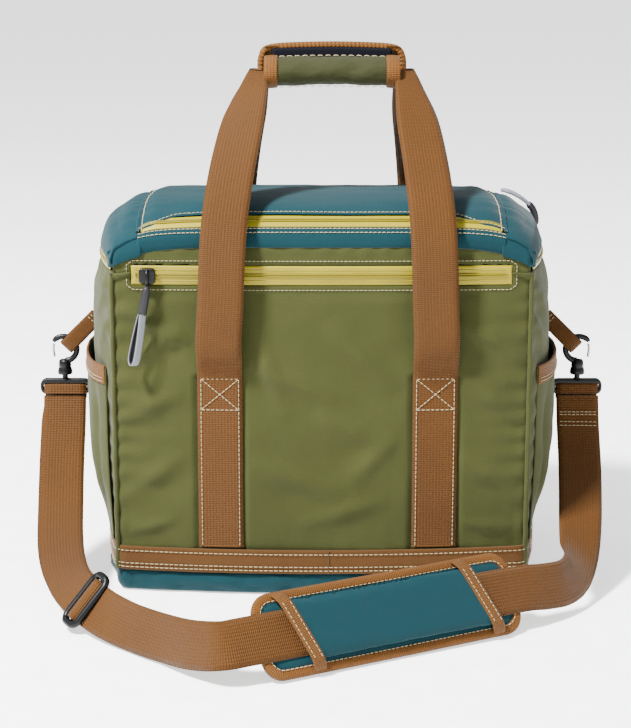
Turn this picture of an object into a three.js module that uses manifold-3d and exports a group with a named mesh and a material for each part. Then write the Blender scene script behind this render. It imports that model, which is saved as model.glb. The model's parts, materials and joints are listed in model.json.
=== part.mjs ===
// Insulated cooler bag: padded fabric box with a zipped lid, a pair of webbing handles that close
// round each other in a grip, two side pockets, a zipped front pocket and a hooked-on shoulder strap.
// Millimetres, +Z up, the front faces -Y, the origin is the middle of the base on the ground.
import * as THREE from 'three';
import { mergeVertices } from 'three/addons/utils/BufferGeometryUtils.js';
import Module from 'manifold-3d';

const wasm = await Module();
wasm.setup();

// ---- driving dimensions ----
const GAP = 0.3;
const FABRIC = 2.5;
const WEB_WIDTH = 38;
const WEB = 1.8;

const HALF_WIDTH = 172;
const HALF_DEPTH = 108;
const FRONT_BOW = 12;
const TOP_BOW = 5;
const SIDE_BOW = 24;
const WALL_TOP = 298;
const SIDE_TOP = 274;
const CORNER_DROP = 16;
const TUB_HEIGHT = 19;
const BAND_TOP = 40;
const FOAM_INNER_X = 150;
const FOAM_INNER_Y = 90;
const FOAM_FLOOR = 24;
const LID_RISE = 32;
const LID_TILT = 0.06;
const LID_CORNER_X = 174;
const LID_SIDE_BOW = 15;
const LID_END_DROP = 14;
const LID_HALF_Y = 113;
const LID_SEAM_X = 150;
const LID_HINGE_Z = 296;

const POCKET_HALF = 95;
const POCKET_TOP = 192;
const POCKET_BINDING = 16;
const POCKET_ROOM = 6;

const ZIP_HALF = 156;
const ZIP_Z = 272;
const ZIP_HEIGHT = 16;
const LID_ZIP_HALF = 148;

const STRAP_X = 89;
const HANDLE_SHIFT = 5;
const STRAP_SEWN_TOP = 188;
const GRIP_HALF = 61;
const GRIP_SHIFT = 9;
const GRIP_BOTTOM = 418;
const GRIP_TOP = 448;

const HOOK_X = 227;

// ---- colours ----
const OLIVE = { color: 0x80824f, roughness: 0.9 };
const TEAL = { color: 0x176973, roughness: 0.9 };
const YELLOW = { color: 0xdccd1e, roughness: 0.6 };
const WEBBING = { color: 0x94612f, roughness: 0.85 };
const TAN = { color: 0xb8864e, roughness: 0.85 };
const FOAM = { color: 0xe8e6df, roughness: 1 };
const LINER = { color: 0xb9bec2, roughness: 0.4 };
const BOARD = { color: 0x2a2c30, roughness: 0.6 };
const PLASTIC = { color: 0x17181c, roughness: 0.45 };
const STEEL = { color: 0xb6b8ba, roughness: 0.3, metalness: 1 };
const GREY_TAPE = { color: 0x9b9da3, roughness: 0.6 };

const bag = new THREE.Group();

function add(name, geometry, look, parent = bag) {
  const mesh = new THREE.Mesh(geometry, new THREE.MeshStandardMaterial(look));
  mesh.name = name;
  parent.add(mesh);
  return mesh;
}

const v3 = (x, y, z) => new THREE.Vector3(x, y, z);

// ---- booleans ----
function toSolid(geometry) {
  const plain = geometry.clone();
  plain.deleteAttribute('normal');
  plain.deleteAttribute('uv');
  const merged = mergeVertices(plain, 1e-4);
  return new wasm.Manifold(new wasm.Mesh({
    numProp: 3,
    vertProperties: new Float32Array(merged.attributes.position.array),
    triVerts: new Uint32Array(merged.index.array),
  }));
}

function toGeometry(solid) {
  const mesh = solid.getMesh();
  const geometry = new THREE.BufferGeometry();
  geometry.setAttribute('position', new THREE.BufferAttribute(mesh.vertProperties, 3));
  geometry.setIndex(new THREE.BufferAttribute(mesh.triVerts, 1));
  geometry.computeVertexNormals();
  return geometry;
}

const cut = (a, ...tools) => toGeometry(tools.reduce((s, t) => s.subtract(toSolid(t)), toSolid(a)));
const join = (a, ...more) => toGeometry(more.reduce((s, t) => s.add(toSolid(t)), toSolid(a)));

// ---- shapes ----
function box(x0, x1, y0, y1, z0, z1) {
  const geometry = new THREE.BoxGeometry(x1 - x0, y1 - y0, z1 - z0);
  return geometry.translate((x0 + x1) / 2, (y0 + y1) / 2, (z0 + z1) / 2);
}

// A box whose grid is bent into place: place(u, v, w) gives the point for u, v and w from 0 to 1.
function patch(nu, nv, place) {
  const geometry = new THREE.BoxGeometry(1, 1, 1, nu, nv, 1);
  const position = geometry.attributes.position;
  for (let i = 0; i < position.count; i += 1) {
    const [u, v, w] = [position.getX(i) + 0.5, position.getY(i) + 0.5, position.getZ(i) + 0.5];
    const p = place(u, v, w);
    position.setXYZ(i, p.x, p.y, p.z);
  }
  const du = place(0.6, 0.5, 0.5).sub(place(0.4, 0.5, 0.5));
  const dv = place(0.5, 0.6, 0.5).sub(place(0.5, 0.4, 0.5));
  const dw = place(0.5, 0.5, 1).sub(place(0.5, 0.5, 0));
  if (du.cross(dv).dot(dw) < 0) {
    const index = geometry.index;
    for (let i = 0; i < index.count; i += 3) {
      const a = index.getX(i);
      index.setX(i, index.getX(i + 1));
      index.setX(i + 1, a);
    }
  }
  geometry.computeVertexNormals();
  return geometry;
}

const mix = (a, b, t) => a + (b - a) * t;

// A flat strap along stations { at, side, width }: side is the direction of its width.
function strap(stations, thickness, steps = stations.length - 1) {
  const line = new THREE.CatmullRomCurve3(stations.map((s) => s.at), false, 'centripetal');
  const last = stations.length - 1;
  const blend = (t, pick) => {
    const i = Math.min(Math.floor(t * last), last - 1);
    return pick(stations[i], stations[i + 1], t * last - i);
  };
  return patch(1, steps, (u, v, w) => {
    const along = line.getTangent(v);
    const side = blend(v, (a, b, t) => a.side.clone().lerp(b.side, t)).normalize();
    side.addScaledVector(along, -side.dot(along)).normalize();
    const out = side.clone().cross(along).normalize();
    const width = blend(v, (a, b, t) => mix(a.width, b.width, t));
    const at = line.getPoint(v);
    at.addScaledVector(side, (u - 0.5) * width);
    return at.addScaledVector(out, (w - 0.5) * thickness);
  });
}

// A round bar along points.
function bar(points, radius, steps, sides = 8) {
  const section = new THREE.Shape().absarc(0, 0, radius, 0, 2 * Math.PI);
  const extrudePath = new THREE.CatmullRomCurve3(points, false, 'centripetal');
  const options = { extrudePath, steps, curveSegments: sides, bevelEnabled: false };
  return new THREE.ExtrudeGeometry(section, options);
}

function roundedRect(halfX, halfY, radius) {
  const shape = new THREE.Shape();
  shape.moveTo(-halfX + radius, -halfY);
  shape.lineTo(halfX - radius, -halfY);
  shape.absarc(halfX - radius, -halfY + radius, radius, -Math.PI / 2, 0);
  shape.lineTo(halfX, halfY - radius);
  shape.absarc(halfX - radius, halfY - radius, radius, 0, Math.PI / 2);
  shape.lineTo(-halfX + radius, halfY);
  shape.absarc(-halfX + radius, halfY - radius, radius, Math.PI / 2, Math.PI);
  shape.lineTo(-halfX, -halfY + radius);
  shape.absarc(-halfX + radius, -halfY + radius, radius, Math.PI, 1.5 * Math.PI);
  return shape;
}

// ---- outer form ----
// Distance of the front or back wall from the middle, and of a side wall: all four are bowed.
function frontY(x, z) {
  const bow = mix(FRONT_BOW, TOP_BOW, THREE.MathUtils.smoothstep(z, 60, 250));
  return HALF_DEPTH + bow * (1 - (x / HALF_WIDTH) ** 2);
}

function sideX(y, z) {
  const low = mix(0.35, 1, THREE.MathUtils.smoothstep(z, 10, 130));
  const high = mix(1, 0.75, THREE.MathUtils.smoothstep(z, 220, 300));
  const height = low * high;
  return HALF_WIDTH + SIDE_BOW * (1 - (y / HALF_DEPTH) ** 2) * height;
}

const lidHalfX = (y) => LID_CORNER_X + LID_SIDE_BOW * (1 - (y / LID_HALF_Y) ** 2);

function lidZ(x, y) {
  const out = Math.abs(x) / (lidHalfX(y) + 2);
  const across = Math.sqrt(Math.max(0, 1 - out ** 6));
  const deep = Math.max(0, 1 - (y / 116) ** 4) ** 0.7;
  const rise = LID_RISE - LID_TILT * (y + 50);
  return WALL_TOP + 1 + rise * deep * across - LID_END_DROP * out ** 10;
}

// The base's plan: a rectangle with rounded corners and bowed sides, grown by an offset.
function basePlan(grow) {
  const corner = 10;
  const shape = new THREE.Shape();
  const [hx, hy] = [HALF_WIDTH + grow, HALF_DEPTH + grow];
  const bowY = 2 * FRONT_BOW;
  const bowX = SIDE_BOW * 0.95;
  shape.moveTo(-hx + corner, -hy - 1);
  shape.quadraticCurveTo(0, -hy - bowY, hx - corner, -hy - 1);
  shape.quadraticCurveTo(hx + 1, -hy, hx + 1, -hy + corner);
  shape.quadraticCurveTo(hx + bowX, 0, hx + 1, hy - corner);
  shape.quadraticCurveTo(hx + 1, hy, hx - corner, hy + 1);
  shape.quadraticCurveTo(0, hy + bowY, -hx + corner, hy + 1);
  shape.quadraticCurveTo(-hx - 1, hy, -hx - 1, hy - corner);
  shape.quadraticCurveTo(-hx - bowX, 0, -hx - 1, -hy + corner);
  shape.quadraticCurveTo(-hx - 1, -hy, -hx + corner, -hy - 1);
  return shape;
}

function prism(shape, z0, z1, curveSegments = 4) {
  const options = { depth: z1 - z0, bevelEnabled: false, curveSegments };
  return new THREE.ExtrudeGeometry(shape, options).translate(0, 0, z0);
}

const ring = (outer, inner, z0, z1) => cut(prism(outer, z0, z1), prism(inner, z0 - 1, z1 + 1));

// ---- base ----
const tubOuter = prism(basePlan(0), 0, TUB_HEIGHT);
const tubInner = prism(basePlan(-FABRIC), FABRIC, TUB_HEIGHT + 1);
add('base_tub', cut(tubOuter, tubInner), TEAL);
add('base_board', prism(roundedRect(HALF_WIDTH - 6, HALF_DEPTH - 6, 8), 2.8, 5.8), BOARD);
add('base_foam', prism(roundedRect(HALF_WIDTH - 6, HALF_DEPTH - 6, 8), 6.1, FOAM_FLOOR), FOAM);
add('trim_band', ring(basePlan(4), basePlan(2.2), TUB_HEIGHT + GAP, BAND_TOP), TAN);

// ---- walls ----
function facePanel(sign, inset, outset, halfX, z0, z1, cornerDrop = 0) {
  return patch(10, 5, (u, v, w) => {
    const x = mix(-halfX, halfX, u);
    const z = mix(z0, z1 - cornerDrop * Math.abs(x / HALF_WIDTH) ** 6, v);
    return v3(x, sign * (frontY(x, z) - mix(inset, outset, w)), z);
  });
}

function sidePanel(sign, inner, outer, halfY, z0, z1, rows = 8) {
  return patch(12, rows, (u, v, w) => {
    const y = mix(-halfY, halfY, u);
    const z = mix(z0, z1, v);
    return v3(sign * mix(inner(y, z), outer(y, z), w), y, z);
  });
}

const zipSlot = box(-ZIP_HALF, ZIP_HALF, -140, -90, ZIP_Z - ZIP_HEIGHT / 2, ZIP_Z + ZIP_HEIGHT / 2);
const PANEL_BOTTOM = TUB_HEIGHT + GAP;
const PANEL_X = HALF_WIDTH - 0.5;
const frontPanel = facePanel(-1, FABRIC, 0, PANEL_X, PANEL_BOTTOM, WALL_TOP, CORNER_DROP);
add('front_panel', cut(frontPanel, zipSlot), OLIVE);
add('back_panel', facePanel(1, FABRIC, 0, PANEL_X, PANEL_BOTTOM, LID_HINGE_Z - 4, CORNER_DROP), OLIVE);
add('front_pocket_lining', facePanel(-1, 6, 5, ZIP_HALF + 6, 60, WALL_TOP - 8), LINER);

const SIDE_Y = HALF_DEPTH - FABRIC - GAP;
for (const [side, sign] of [['left', -1], ['right', 1]]) {
  const wall = (y, z) => sideX(y, z);
  const skin = (y, z) => sideX(y, z) - FABRIC;
  add(`${side}_side_panel`, sidePanel(sign, skin, wall, SIDE_Y, PANEL_BOTTOM, SIDE_TOP), OLIVE);
  const shoulder = (z) => HALF_WIDTH + 8 - 12 * THREE.MathUtils.smoothstep(z, 240, 285);
  const padding = (y, z) => Math.min(sideX(y, z) - FABRIC - 1.5, shoulder(z));
  const sideFoam = sidePanel(sign, () => FOAM_INNER_X, padding, 88, FOAM_FLOOR + GAP, WALL_TOP - 2, 6);
  add(`${side}_foam`, sideFoam, FOAM);
}

function faceFoam(sign) {
  return patch(10, 3, (u, v, w) => {
    const x = mix(-162, 162, u);
    const z = mix(FOAM_FLOOR + GAP, WALL_TOP - 1, v);
    return v3(x, sign * mix(FOAM_INNER_Y, frontY(x, z) - 8, w), z);
  });
}
add('front_foam', faceFoam(-1), FOAM);
add('back_foam', faceFoam(1), FOAM);

const LINER_X = FOAM_INNER_X - GAP;
const LINER_Y = FOAM_INNER_Y - GAP;
const linerOuter = prism(roundedRect(LINER_X, 87.5, 12), FOAM_FLOOR + GAP, WALL_TOP - 1);
const linerInner = prism(roundedRect(LINER_X - 1, 86.5, 11), FOAM_FLOOR + GAP + 1, WALL_TOP + 5);
add('liner_tub', cut(linerOuter, linerInner), LINER);

// ---- side pockets and their bindings ----
function pocketRoom(y, z) {
  const across = 1 - Math.abs(y / POCKET_HALF) ** 8;
  const up = THREE.MathUtils.smoothstep(z, BAND_TOP, BAND_TOP + 50);
  return GAP + POCKET_ROOM * across * up;
}

for (const [side, sign] of [['left', -1], ['right', 1]]) {
  const inner = (y, z) => sideX(y, z) + pocketRoom(y, z) + 0.6;
  const outer = (y, z) => inner(y, z) + 1.6;
  const pocket = patch(16, 6, (u, v, w) => {
    const y = mix(-POCKET_HALF, POCKET_HALF, u);
    const z = mix(BAND_TOP + GAP, POCKET_TOP, v);
    return v3(sign * mix(inner(y, z), outer(y, z), w), y, z);
  });
  add(`${side}_pocket`, pocket, OLIVE);
  const binding = patch(16, 1, (u, v, w) => {
    const y = mix(-POCKET_HALF, POCKET_HALF, u);
    const z = mix(POCKET_TOP - POCKET_BINDING, POCKET_TOP, v);
    return v3(sign * (outer(y, z) + GAP + 1.2 * w), y, z);
  });
  add(`${side}_pocket_binding`, binding, TAN);
}

// ---- lid ----
function lidSlab(x0, x1, y0, y1, below, above, nx = 8, ny = 12) {
  return patch(nx, ny, (u, v, w) => {
    const x = mix(x0, x1, u);
    const y = mix(y0, y1, v);
    return v3(x, y, lidZ(x, y) - mix(below, above, w));
  });
}

const LID_FRONT = -98;
add('lid_cover', lidSlab(-LID_SEAM_X + GAP, LID_SEAM_X - GAP, LID_FRONT, LID_HALF_Y, FABRIC, 0), TEAL);
for (const [side, sign] of [['left', -1], ['right', 1]]) {
  const end = patch(6, 12, (u, v, w) => {
    const y = mix(-LID_HALF_Y, LID_HALF_Y, v);
    const x = sign * mix(LID_SEAM_X, lidHalfX(y), u);
    return v3(x, y, lidZ(x, y) - FABRIC * (1 - w));
  });
  add(`lid_${side}_end`, end, TEAL);
}
const lidFoam = patch(12, 10, (u, v, w) => {
  const x = mix(-150, 150, u);
  const y = mix(LID_FRONT + 1, 96, v);
  return v3(x, y, w > 0.5 ? lidZ(x, y) - FABRIC - 3 : WALL_TOP + 1.8);
});
add('lid_foam', lidFoam, FOAM);
add('lid_liner', box(-156, 156, LID_FRONT + 1, 100, WALL_TOP + 0.2, WALL_TOP + 1.4), LINER);

// The zip runs along the front edge of the lid, in a bevel, and down both sides.
function frontStrip(halfX, y0, y1, thickness) {
  return patch(10, 3, (u, v, w) => {
    const x = mix(-halfX, halfX, u);
    const y = mix(y0, y1, v);
    return v3(x, y, lidZ(x, y) - thickness * (1 - w));
  });
}
add('lid_facing_strip', frontStrip(LID_ZIP_HALF, -113.5, -108.8, 2), TEAL);
add('lid_zip_body_tape', frontStrip(LID_ZIP_HALF, -108.4, -103.8, 1.4), YELLOW);
add('lid_zip_lid_tape', frontStrip(LID_ZIP_HALF, -103.4, LID_FRONT - 0.4, 1.4), YELLOW);
const SIDE_ZIP_TOP = 285;
for (const [side, sign] of [['left', -1], ['right', 1]]) {
  const out = (y) => sideX(y, SIDE_TOP) - 1;
  const tape = sidePanel(sign, (y) => out(y) - 1.4, out, 100, SIDE_TOP + GAP, SIDE_ZIP_TOP - 0.7, 1);
  add(`lid_zip_${side}_tape`, tape, YELLOW);
}

// ---- zip sliders and pulls ----
const zipTapeBottom = ZIP_Z - ZIP_HEIGHT / 2 + GAP;
const zipTapeTop = ZIP_Z + ZIP_HEIGHT / 2 - GAP;
const frontZipTape = facePanel(-1, 3.7, 2.6, ZIP_HALF - GAP, zipTapeBottom, zipTapeTop);
add('front_zip_tape', frontZipTape, YELLOW);

const SLIDER_X = -142;
const SLIDER_Y = -113.6;
const sliderBody = roundedRect(7, 6.5, 3);
const frontSlider = new THREE.Group();
frontSlider.position.set(SLIDER_X, SLIDER_Y, ZIP_Z);
frontSlider.rotation.x = Math.PI / 2;
bag.add(frontSlider);
add('front_zip_slider', prism(sliderBody, 0, 5), PLASTIC, frontSlider);

// A pull hangs from its slider: a sleeve over the cord ends, and an open loop of grey tape below.
function pullLoop(halfWidth, thickness, length) {
  const outer = roundedRect(halfWidth, length / 2, halfWidth * 0.8);
  const inner = roundedRect(halfWidth - 3.2, length / 2 - 3.2, halfWidth * 0.4);
  return cut(prism(outer, 0, thickness, 5), prism(inner, -1, thickness + 1, 4));
}
const PULL_Y = -118.9;
const frontPull = new THREE.Group();
frontPull.position.set(SLIDER_X, PULL_Y, ZIP_Z - 8);
frontPull.rotation.x = Math.PI / 2;
bag.add(frontPull);
const frontSleeve = prism(roundedRect(4, 15, 2), 0, 4).translate(0, -15, 0);
add('front_zip_pull', join(frontSleeve, pullLoop(6.5, 3, 34).translate(0, -45.5, 0.5)), GREY_TAPE, frontPull);

const LID_SLIDER_Y = 62;
const LID_PULL_LEAN = 0.3;
const LID_SLIDER_Z = SIDE_TOP + 5.5;
const lidSliderX = sideX(LID_SLIDER_Y, SIDE_TOP) + 0.6;
const lidSlider = new THREE.Group();
lidSlider.position.set(lidSliderX, LID_SLIDER_Y, LID_SLIDER_Z);
lidSlider.rotation.y = Math.PI / 2;
bag.add(lidSlider);
add('lid_zip_slider', prism(roundedRect(4.6, 7, 2.5), 0, 5), PLASTIC, lidSlider);
const lidPull = new THREE.Group();
lidPull.position.set(lidSliderX + 8.2, LID_SLIDER_Y, LID_SLIDER_Z + 7);
lidPull.rotation.y = Math.PI / 2 - LID_PULL_LEAN;
bag.add(lidPull);
const lidSleeve = prism(roundedRect(12, 4, 2), -2, 2).translate(-12, 0, 0);
const lidLoop = pullLoop(6.5, 3, 30).rotateZ(Math.PI / 2).translate(-37.5, 0, -1.5);
add('lid_zip_pull', join(lidSleeve, lidLoop), GREY_TAPE, lidPull);

// ---- handles: sewn straps, free legs and the two halves of the grip ----
const X_AXIS = v3(1, 0, 0);
const STRAP_GAP = 0.6;

function sewnStrap(x, sign) {
  return patch(4, 10, (u, v, w) => {
    const at = x + mix(-WEB_WIDTH / 2, WEB_WIDTH / 2, u);
    const z = mix(BAND_TOP + 2, STRAP_SEWN_TOP, v);
    return v3(at, sign * (frontY(at, z) + STRAP_GAP + WEB * w), z);
  });
}

function freeLeg(x, gripX, sign) {
  const root = frontY(x, STRAP_SEWN_TOP) + STRAP_GAP + WEB / 2 + 1.2;
  const lean = (t) => mix(x, gripX, t);
  const path = [
    [0, root, STRAP_SEWN_TOP + 1.2, WEB_WIDTH],
    [0, root + 7, 196, WEB_WIDTH],
    [0, root + 12, 214, WEB_WIDTH],
    [0.06, root + 13.5, 250, WEB_WIDTH],
    [0.12, root + 11, 292, WEB_WIDTH],
    [0.2, root - 1, 324, WEB_WIDTH],
    [0.36, root - 30, 358, WEB_WIDTH],
    [0.6, root - 66, 392, 37],
    [0.85, 24, 416, 26],
    [1, 9.5, GRIP_BOTTOM + 13, 15],
  ];
  const stations = path.map(([t, y, z, width]) => ({ at: v3(lean(t), sign * y, z), side: X_AXIS, width }));
  return strap(stations, WEB, 22);
}

const GRIP_NEAR = 3.2;
const GRIP_DEEP = 17.8;
const GRIP_COVER_HALF = GRIP_HALF - 8;
const GRIP_MIDDLE = (GRIP_TOP + GRIP_BOTTOM) / 2;
for (const [face, sign] of [['front', -1], ['back', 1]]) {
  for (const [side, hand] of [['left', -1], ['right', 1]]) {
    add(`${face}_${side}_strap_sewn`, sewnStrap(hand * STRAP_X + HANDLE_SHIFT, sign), WEBBING);
  }
  const halfBox = (halfX, y0, y1, z0, z1) => {
    const [low, high] = sign < 0 ? [-y1, -y0] : [y0, y1];
    return box(GRIP_SHIFT - halfX, GRIP_SHIFT + halfX, low, high, z0, z1);
  };
  // The webbing of each handle is one length: a leg each side and a flat run through the grip.
  const legs = [-1, 1].map((hand) => (
    freeLeg(hand * STRAP_X + HANDLE_SHIFT, GRIP_SHIFT + hand * (GRIP_HALF + 1), sign)
  ));
  const run = halfBox(GRIP_HALF - 2, GRIP_NEAR + 2, GRIP_NEAR + 8.5, GRIP_BOTTOM + 8, GRIP_TOP - 8);
  add(`${face}_handle_webbing`, join(run, ...legs), WEBBING);
  const cover = patch(4, 12, (u, v, w) => {
    const x = GRIP_SHIFT + mix(-GRIP_COVER_HALF, GRIP_COVER_HALF, u);
    const turn = mix(-0.5, 0.5, v) * Math.PI;
    const skin = 2 * (1 - w);
    const y = GRIP_NEAR + (GRIP_DEEP - skin) * Math.cos(turn);
    return v3(x, sign * y, GRIP_MIDDLE + ((GRIP_TOP - GRIP_BOTTOM) / 2 - skin) * Math.sin(turn));
  });
  add(`${face}_grip_cover`, cover, OLIVE);
  add(`${face}_grip_closure`, halfBox(50, 0.4, GRIP_NEAR - 0.4, GRIP_BOTTOM + 2, GRIP_TOP - 2), BOARD);
}

// ---- side loops and swivel hooks ----
const RING_R = 11;
const RING_BAR = 2.4;
const RING_Z = 186;
const BARREL_TOP = 176;
const BARREL_BOTTOM = 163;
const FRAME_Z = 152;
const FRAME_HALF = 22;
const LOOP_LENGTH = 42;

const ringPoint = (sign, degrees, radius = RING_R) => {
  const a = THREE.MathUtils.degToRad(degrees);
  return v3(sign * (HOOK_X + radius * Math.cos(a)), 0, RING_Z + radius * Math.sin(a));
};
const ringArc = (from, to, steps, sign) => Array.from(
  { length: steps + 1 },
  (_, i) => ringPoint(sign, mix(from, to, i / steps)),
);

for (const [side, sign] of [['left', -1], ['right', 1]]) {
  // The ring runs from the barrel round the bag's side and over the top, and stops short outside.
  const arc = ringArc(-95, -325, 12, sign);
  const ringBar = bar(arc, RING_BAR, 12, 8);
  const barrel = new THREE.CylinderGeometry(5.2, 6.4, BARREL_TOP - BARREL_BOTTOM, 16).rotateX(Math.PI / 2);
  barrel.translate(sign * HOOK_X, 0, (BARREL_TOP + BARREL_BOTTOM) / 2);
  const bore = new THREE.CylinderGeometry(3, 3, 8, 12).rotateX(Math.PI / 2);
  bore.translate(sign * HOOK_X, 0, BARREL_BOTTOM + 2);
  add(`${side}_hook`, cut(join(ringBar, barrel), bore), PLASTIC);

  const gateEnds = [ringPoint(sign, -38, 11.5), ringPoint(sign, -5, 9.8), ringPoint(sign, 24, 10.2)];
  add(`${side}_hook_gate`, bar(gateEnds, 0.9, 6, 6), STEEL);

  const plate = prism(roundedRect(FRAME_HALF, 7, 6), -3.5, 3.5, 5);
  const window = prism(roundedRect(FRAME_HALF - 2.6, 3, 2.4), -5, 5, 4);
  const frame = cut(plate, window).rotateX(Math.PI / 2).translate(sign * HOOK_X, 0, FRAME_Z);
  const neck = new THREE.CylinderGeometry(2.4, 2.4, 8, 12).rotateX(Math.PI / 2);
  neck.translate(sign * HOOK_X, 0, FRAME_Z + 10);
  add(`${side}_hook_frame`, join(frame, neck), PLASTIC);

  // A loop of webbing comes out of the wall, downwards at 45 degrees, and folds round the ring.
  const fold = new THREE.Shape();
  fold.moveTo(0, -7.6);
  fold.lineTo(LOOP_LENGTH - 7.6, -7.6);
  fold.absarc(LOOP_LENGTH - 7.6, 0, 7.6, -Math.PI / 2, Math.PI / 2);
  fold.lineTo(0, 7.6);
  fold.lineTo(0, 6);
  fold.lineTo(LOOP_LENGTH - 7.6, 6);
  fold.absarc(LOOP_LENGTH - 7.6, 0, 6, Math.PI / 2, -Math.PI / 2, true);
  fold.lineTo(0, -6);
  const loop = prism(fold, -7, 7, 5);
  if (sign < 0) loop.rotateZ(Math.PI);
  loop.rotateY(sign * Math.PI / 4);
  const bite = ringPoint(sign, 135);
  const reach = LOOP_LENGTH - 10;
  loop.translate(bite.x - sign * reach * Math.SQRT1_2, 0, bite.z + reach * Math.SQRT1_2);
  const wallX = sideX(0, 215) + 0.6;
  const wall = sign < 0 ? box(-wallX, 0, -20, 20, 150, 260) : box(0, wallX, -20, 20, 150, 260);
  add(`${side}_side_loop`, cut(loop, wall), WEBBING);
}

// ---- shoulder strap: hangs from the hook frames, then stands on its edge along the ground ----
// Each row is the middle of the strap, then the direction of its width.
const ROUTE = [
  [-227, -5, 144.4, 1, 0, 0],
  [-227, -12, 124, 1, 0, 0],
  [-227, -30, 94, 1, 0, 0],
  [-225, -60, 64, 1, 0, 0.03],
  [-221, -98, 43, 1, 0, 0.1],
  [-214, -136, 32, 0.95, 0.1, 0.3],
  [-203, -170, 26.5, 0.75, 0.28, 0.6],
  [-187, -197, 22, 0.58, 0.33, 0.74],
  [-170, -221, 20, 0.35, 0.36, 0.86],
  [-147, -246, 19, 0.08, 0.34, 0.94],
  [-122, -270, 20, 0, 0.36, 0.93],
  [-98, -295, 24, 0, 0.45, 0.89],
  [-75, -311, 29.5, 0, 0.55, 0.83],
  [-54, -306, 31.4, 0, 0.57, 0.82],
  [51, -250.7, 31.4, 0, 0.57, 0.82],
  [164, -191.2, 31.4, 0, 0.57, 0.82],
  [181, -180.5, 29, 0, 0.5, 0.86],
  [199, -165, 27, -0.15, 0.35, 0.92],
  [211, -143, 28.5, -0.45, 0.22, 0.85],
  [217, -115, 37, -0.8, 0.1, 0.5],
  [222, -82, 58, -1, 0, 0.15],
  [226, -42, 90, -1, 0, 0],
  [227, -14, 122, -1, 0, 0],
  [227, -5, 144.4, -1, 0, 0],
];
const route = new THREE.CatmullRomCurve3(ROUTE.map(([x, y, z]) => v3(x, y, z)), false, 'centripetal');
const ROUTE_LAST = ROUTE.length - 1;

// The strap's own axes at a place on the route, counted in rows.
function routeFrame(row) {
  const i = Math.min(Math.floor(row), ROUTE_LAST - 1);
  const t = row / ROUTE_LAST;
  const along = route.getTangent(t);
  const side = v3(...ROUTE[i].slice(3)).normalize().lerp(v3(...ROUTE[i + 1].slice(3)).normalize(), row - i);
  side.addScaledVector(along, -side.dot(along)).normalize();
  return { at: route.getPoint(t), along, side, back: side.clone().cross(along) };
}

// A flat piece that follows the route between two rows: back is how far it lies behind the middle.
function ribbon(from, to, width, thickness, steps, back = 0) {
  return patch(1, steps, (u, v, w) => {
    const frame = routeFrame(mix(from, to, v));
    const across = frame.side.multiplyScalar((u - 0.5) * width);
    return frame.at.add(across).addScaledVector(frame.back, back + (w - 0.5) * thickness);
  });
}

const SLIDER_ROW = 7;
const PAD_FROM = 13.1;
const PAD_TO = 14.88;
const PAD_WIDTH = 66;
add('shoulder_strap', ribbon(0, ROUTE_LAST, WEB_WIDTH, WEB, 78), WEBBING);
add('strap_adjust_ply', ribbon(0, SLIDER_ROW - 0.6, WEB_WIDTH, WEB, 22, WEB + 0.7), WEBBING);

// The slider is a frame with a middle bar: its ends pass in front of the strap, the bar behind it.
const sliderFrame = routeFrame(SLIDER_ROW);
const sliderAxes = new THREE.Matrix4().makeBasis(sliderFrame.side, sliderFrame.along, sliderFrame.back);
sliderAxes.setPosition(sliderFrame.at);
const glideOutline = prism(roundedRect(25, 9, 3), -5.2, 3);
const glideTunnel = prism(roundedRect(20.4, 20, 1), -2.8, 4);
const glideWindow = prism(roundedRect(20.2, 5.6, 2), -6, 4);
const glideFrame = cut(glideOutline, glideTunnel, glideWindow);
const glideBar = box(-23, 23, -1.8, 1.8, 2.2, 4.4);
const strapSlider = new THREE.Group();
strapSlider.applyMatrix4(sliderAxes);
bag.add(strapSlider);
add('strap_slider', join(glideFrame, glideBar), PLASTIC, strapSlider);

add('pad_base', ribbon(PAD_FROM + 0.04, PAD_TO - 0.04, PAD_WIDTH - 6, 4, 6, 4.2), TEAL);
add('pad_cover', ribbon(PAD_FROM + 0.2, PAD_TO - 0.2, PAD_WIDTH - 12, 3.5, 6, -3.6), TEAL);
const bindingOuter = ribbon(PAD_FROM, PAD_TO, PAD_WIDTH, 5, 6, 4.2);
const bindingInner = ribbon(PAD_FROM + 0.035, PAD_TO - 0.035, PAD_WIDTH - 5.4, 20, 6, 4.2);
add('pad_binding', cut(bindingOuter, bindingInner), TAN);
for (const [side, at] of [['left', PAD_FROM + 0.3], ['right', PAD_TO - 0.3]]) {
  add(`pad_${side}_keeper`, ribbon(at - 0.07, at + 0.07, PAD_WIDTH - 2, 1.6, 2, -7), TAN);
}

export default bag;
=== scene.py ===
import json
import math

import bpy
import numpy as np
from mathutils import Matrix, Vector, noise

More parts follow.
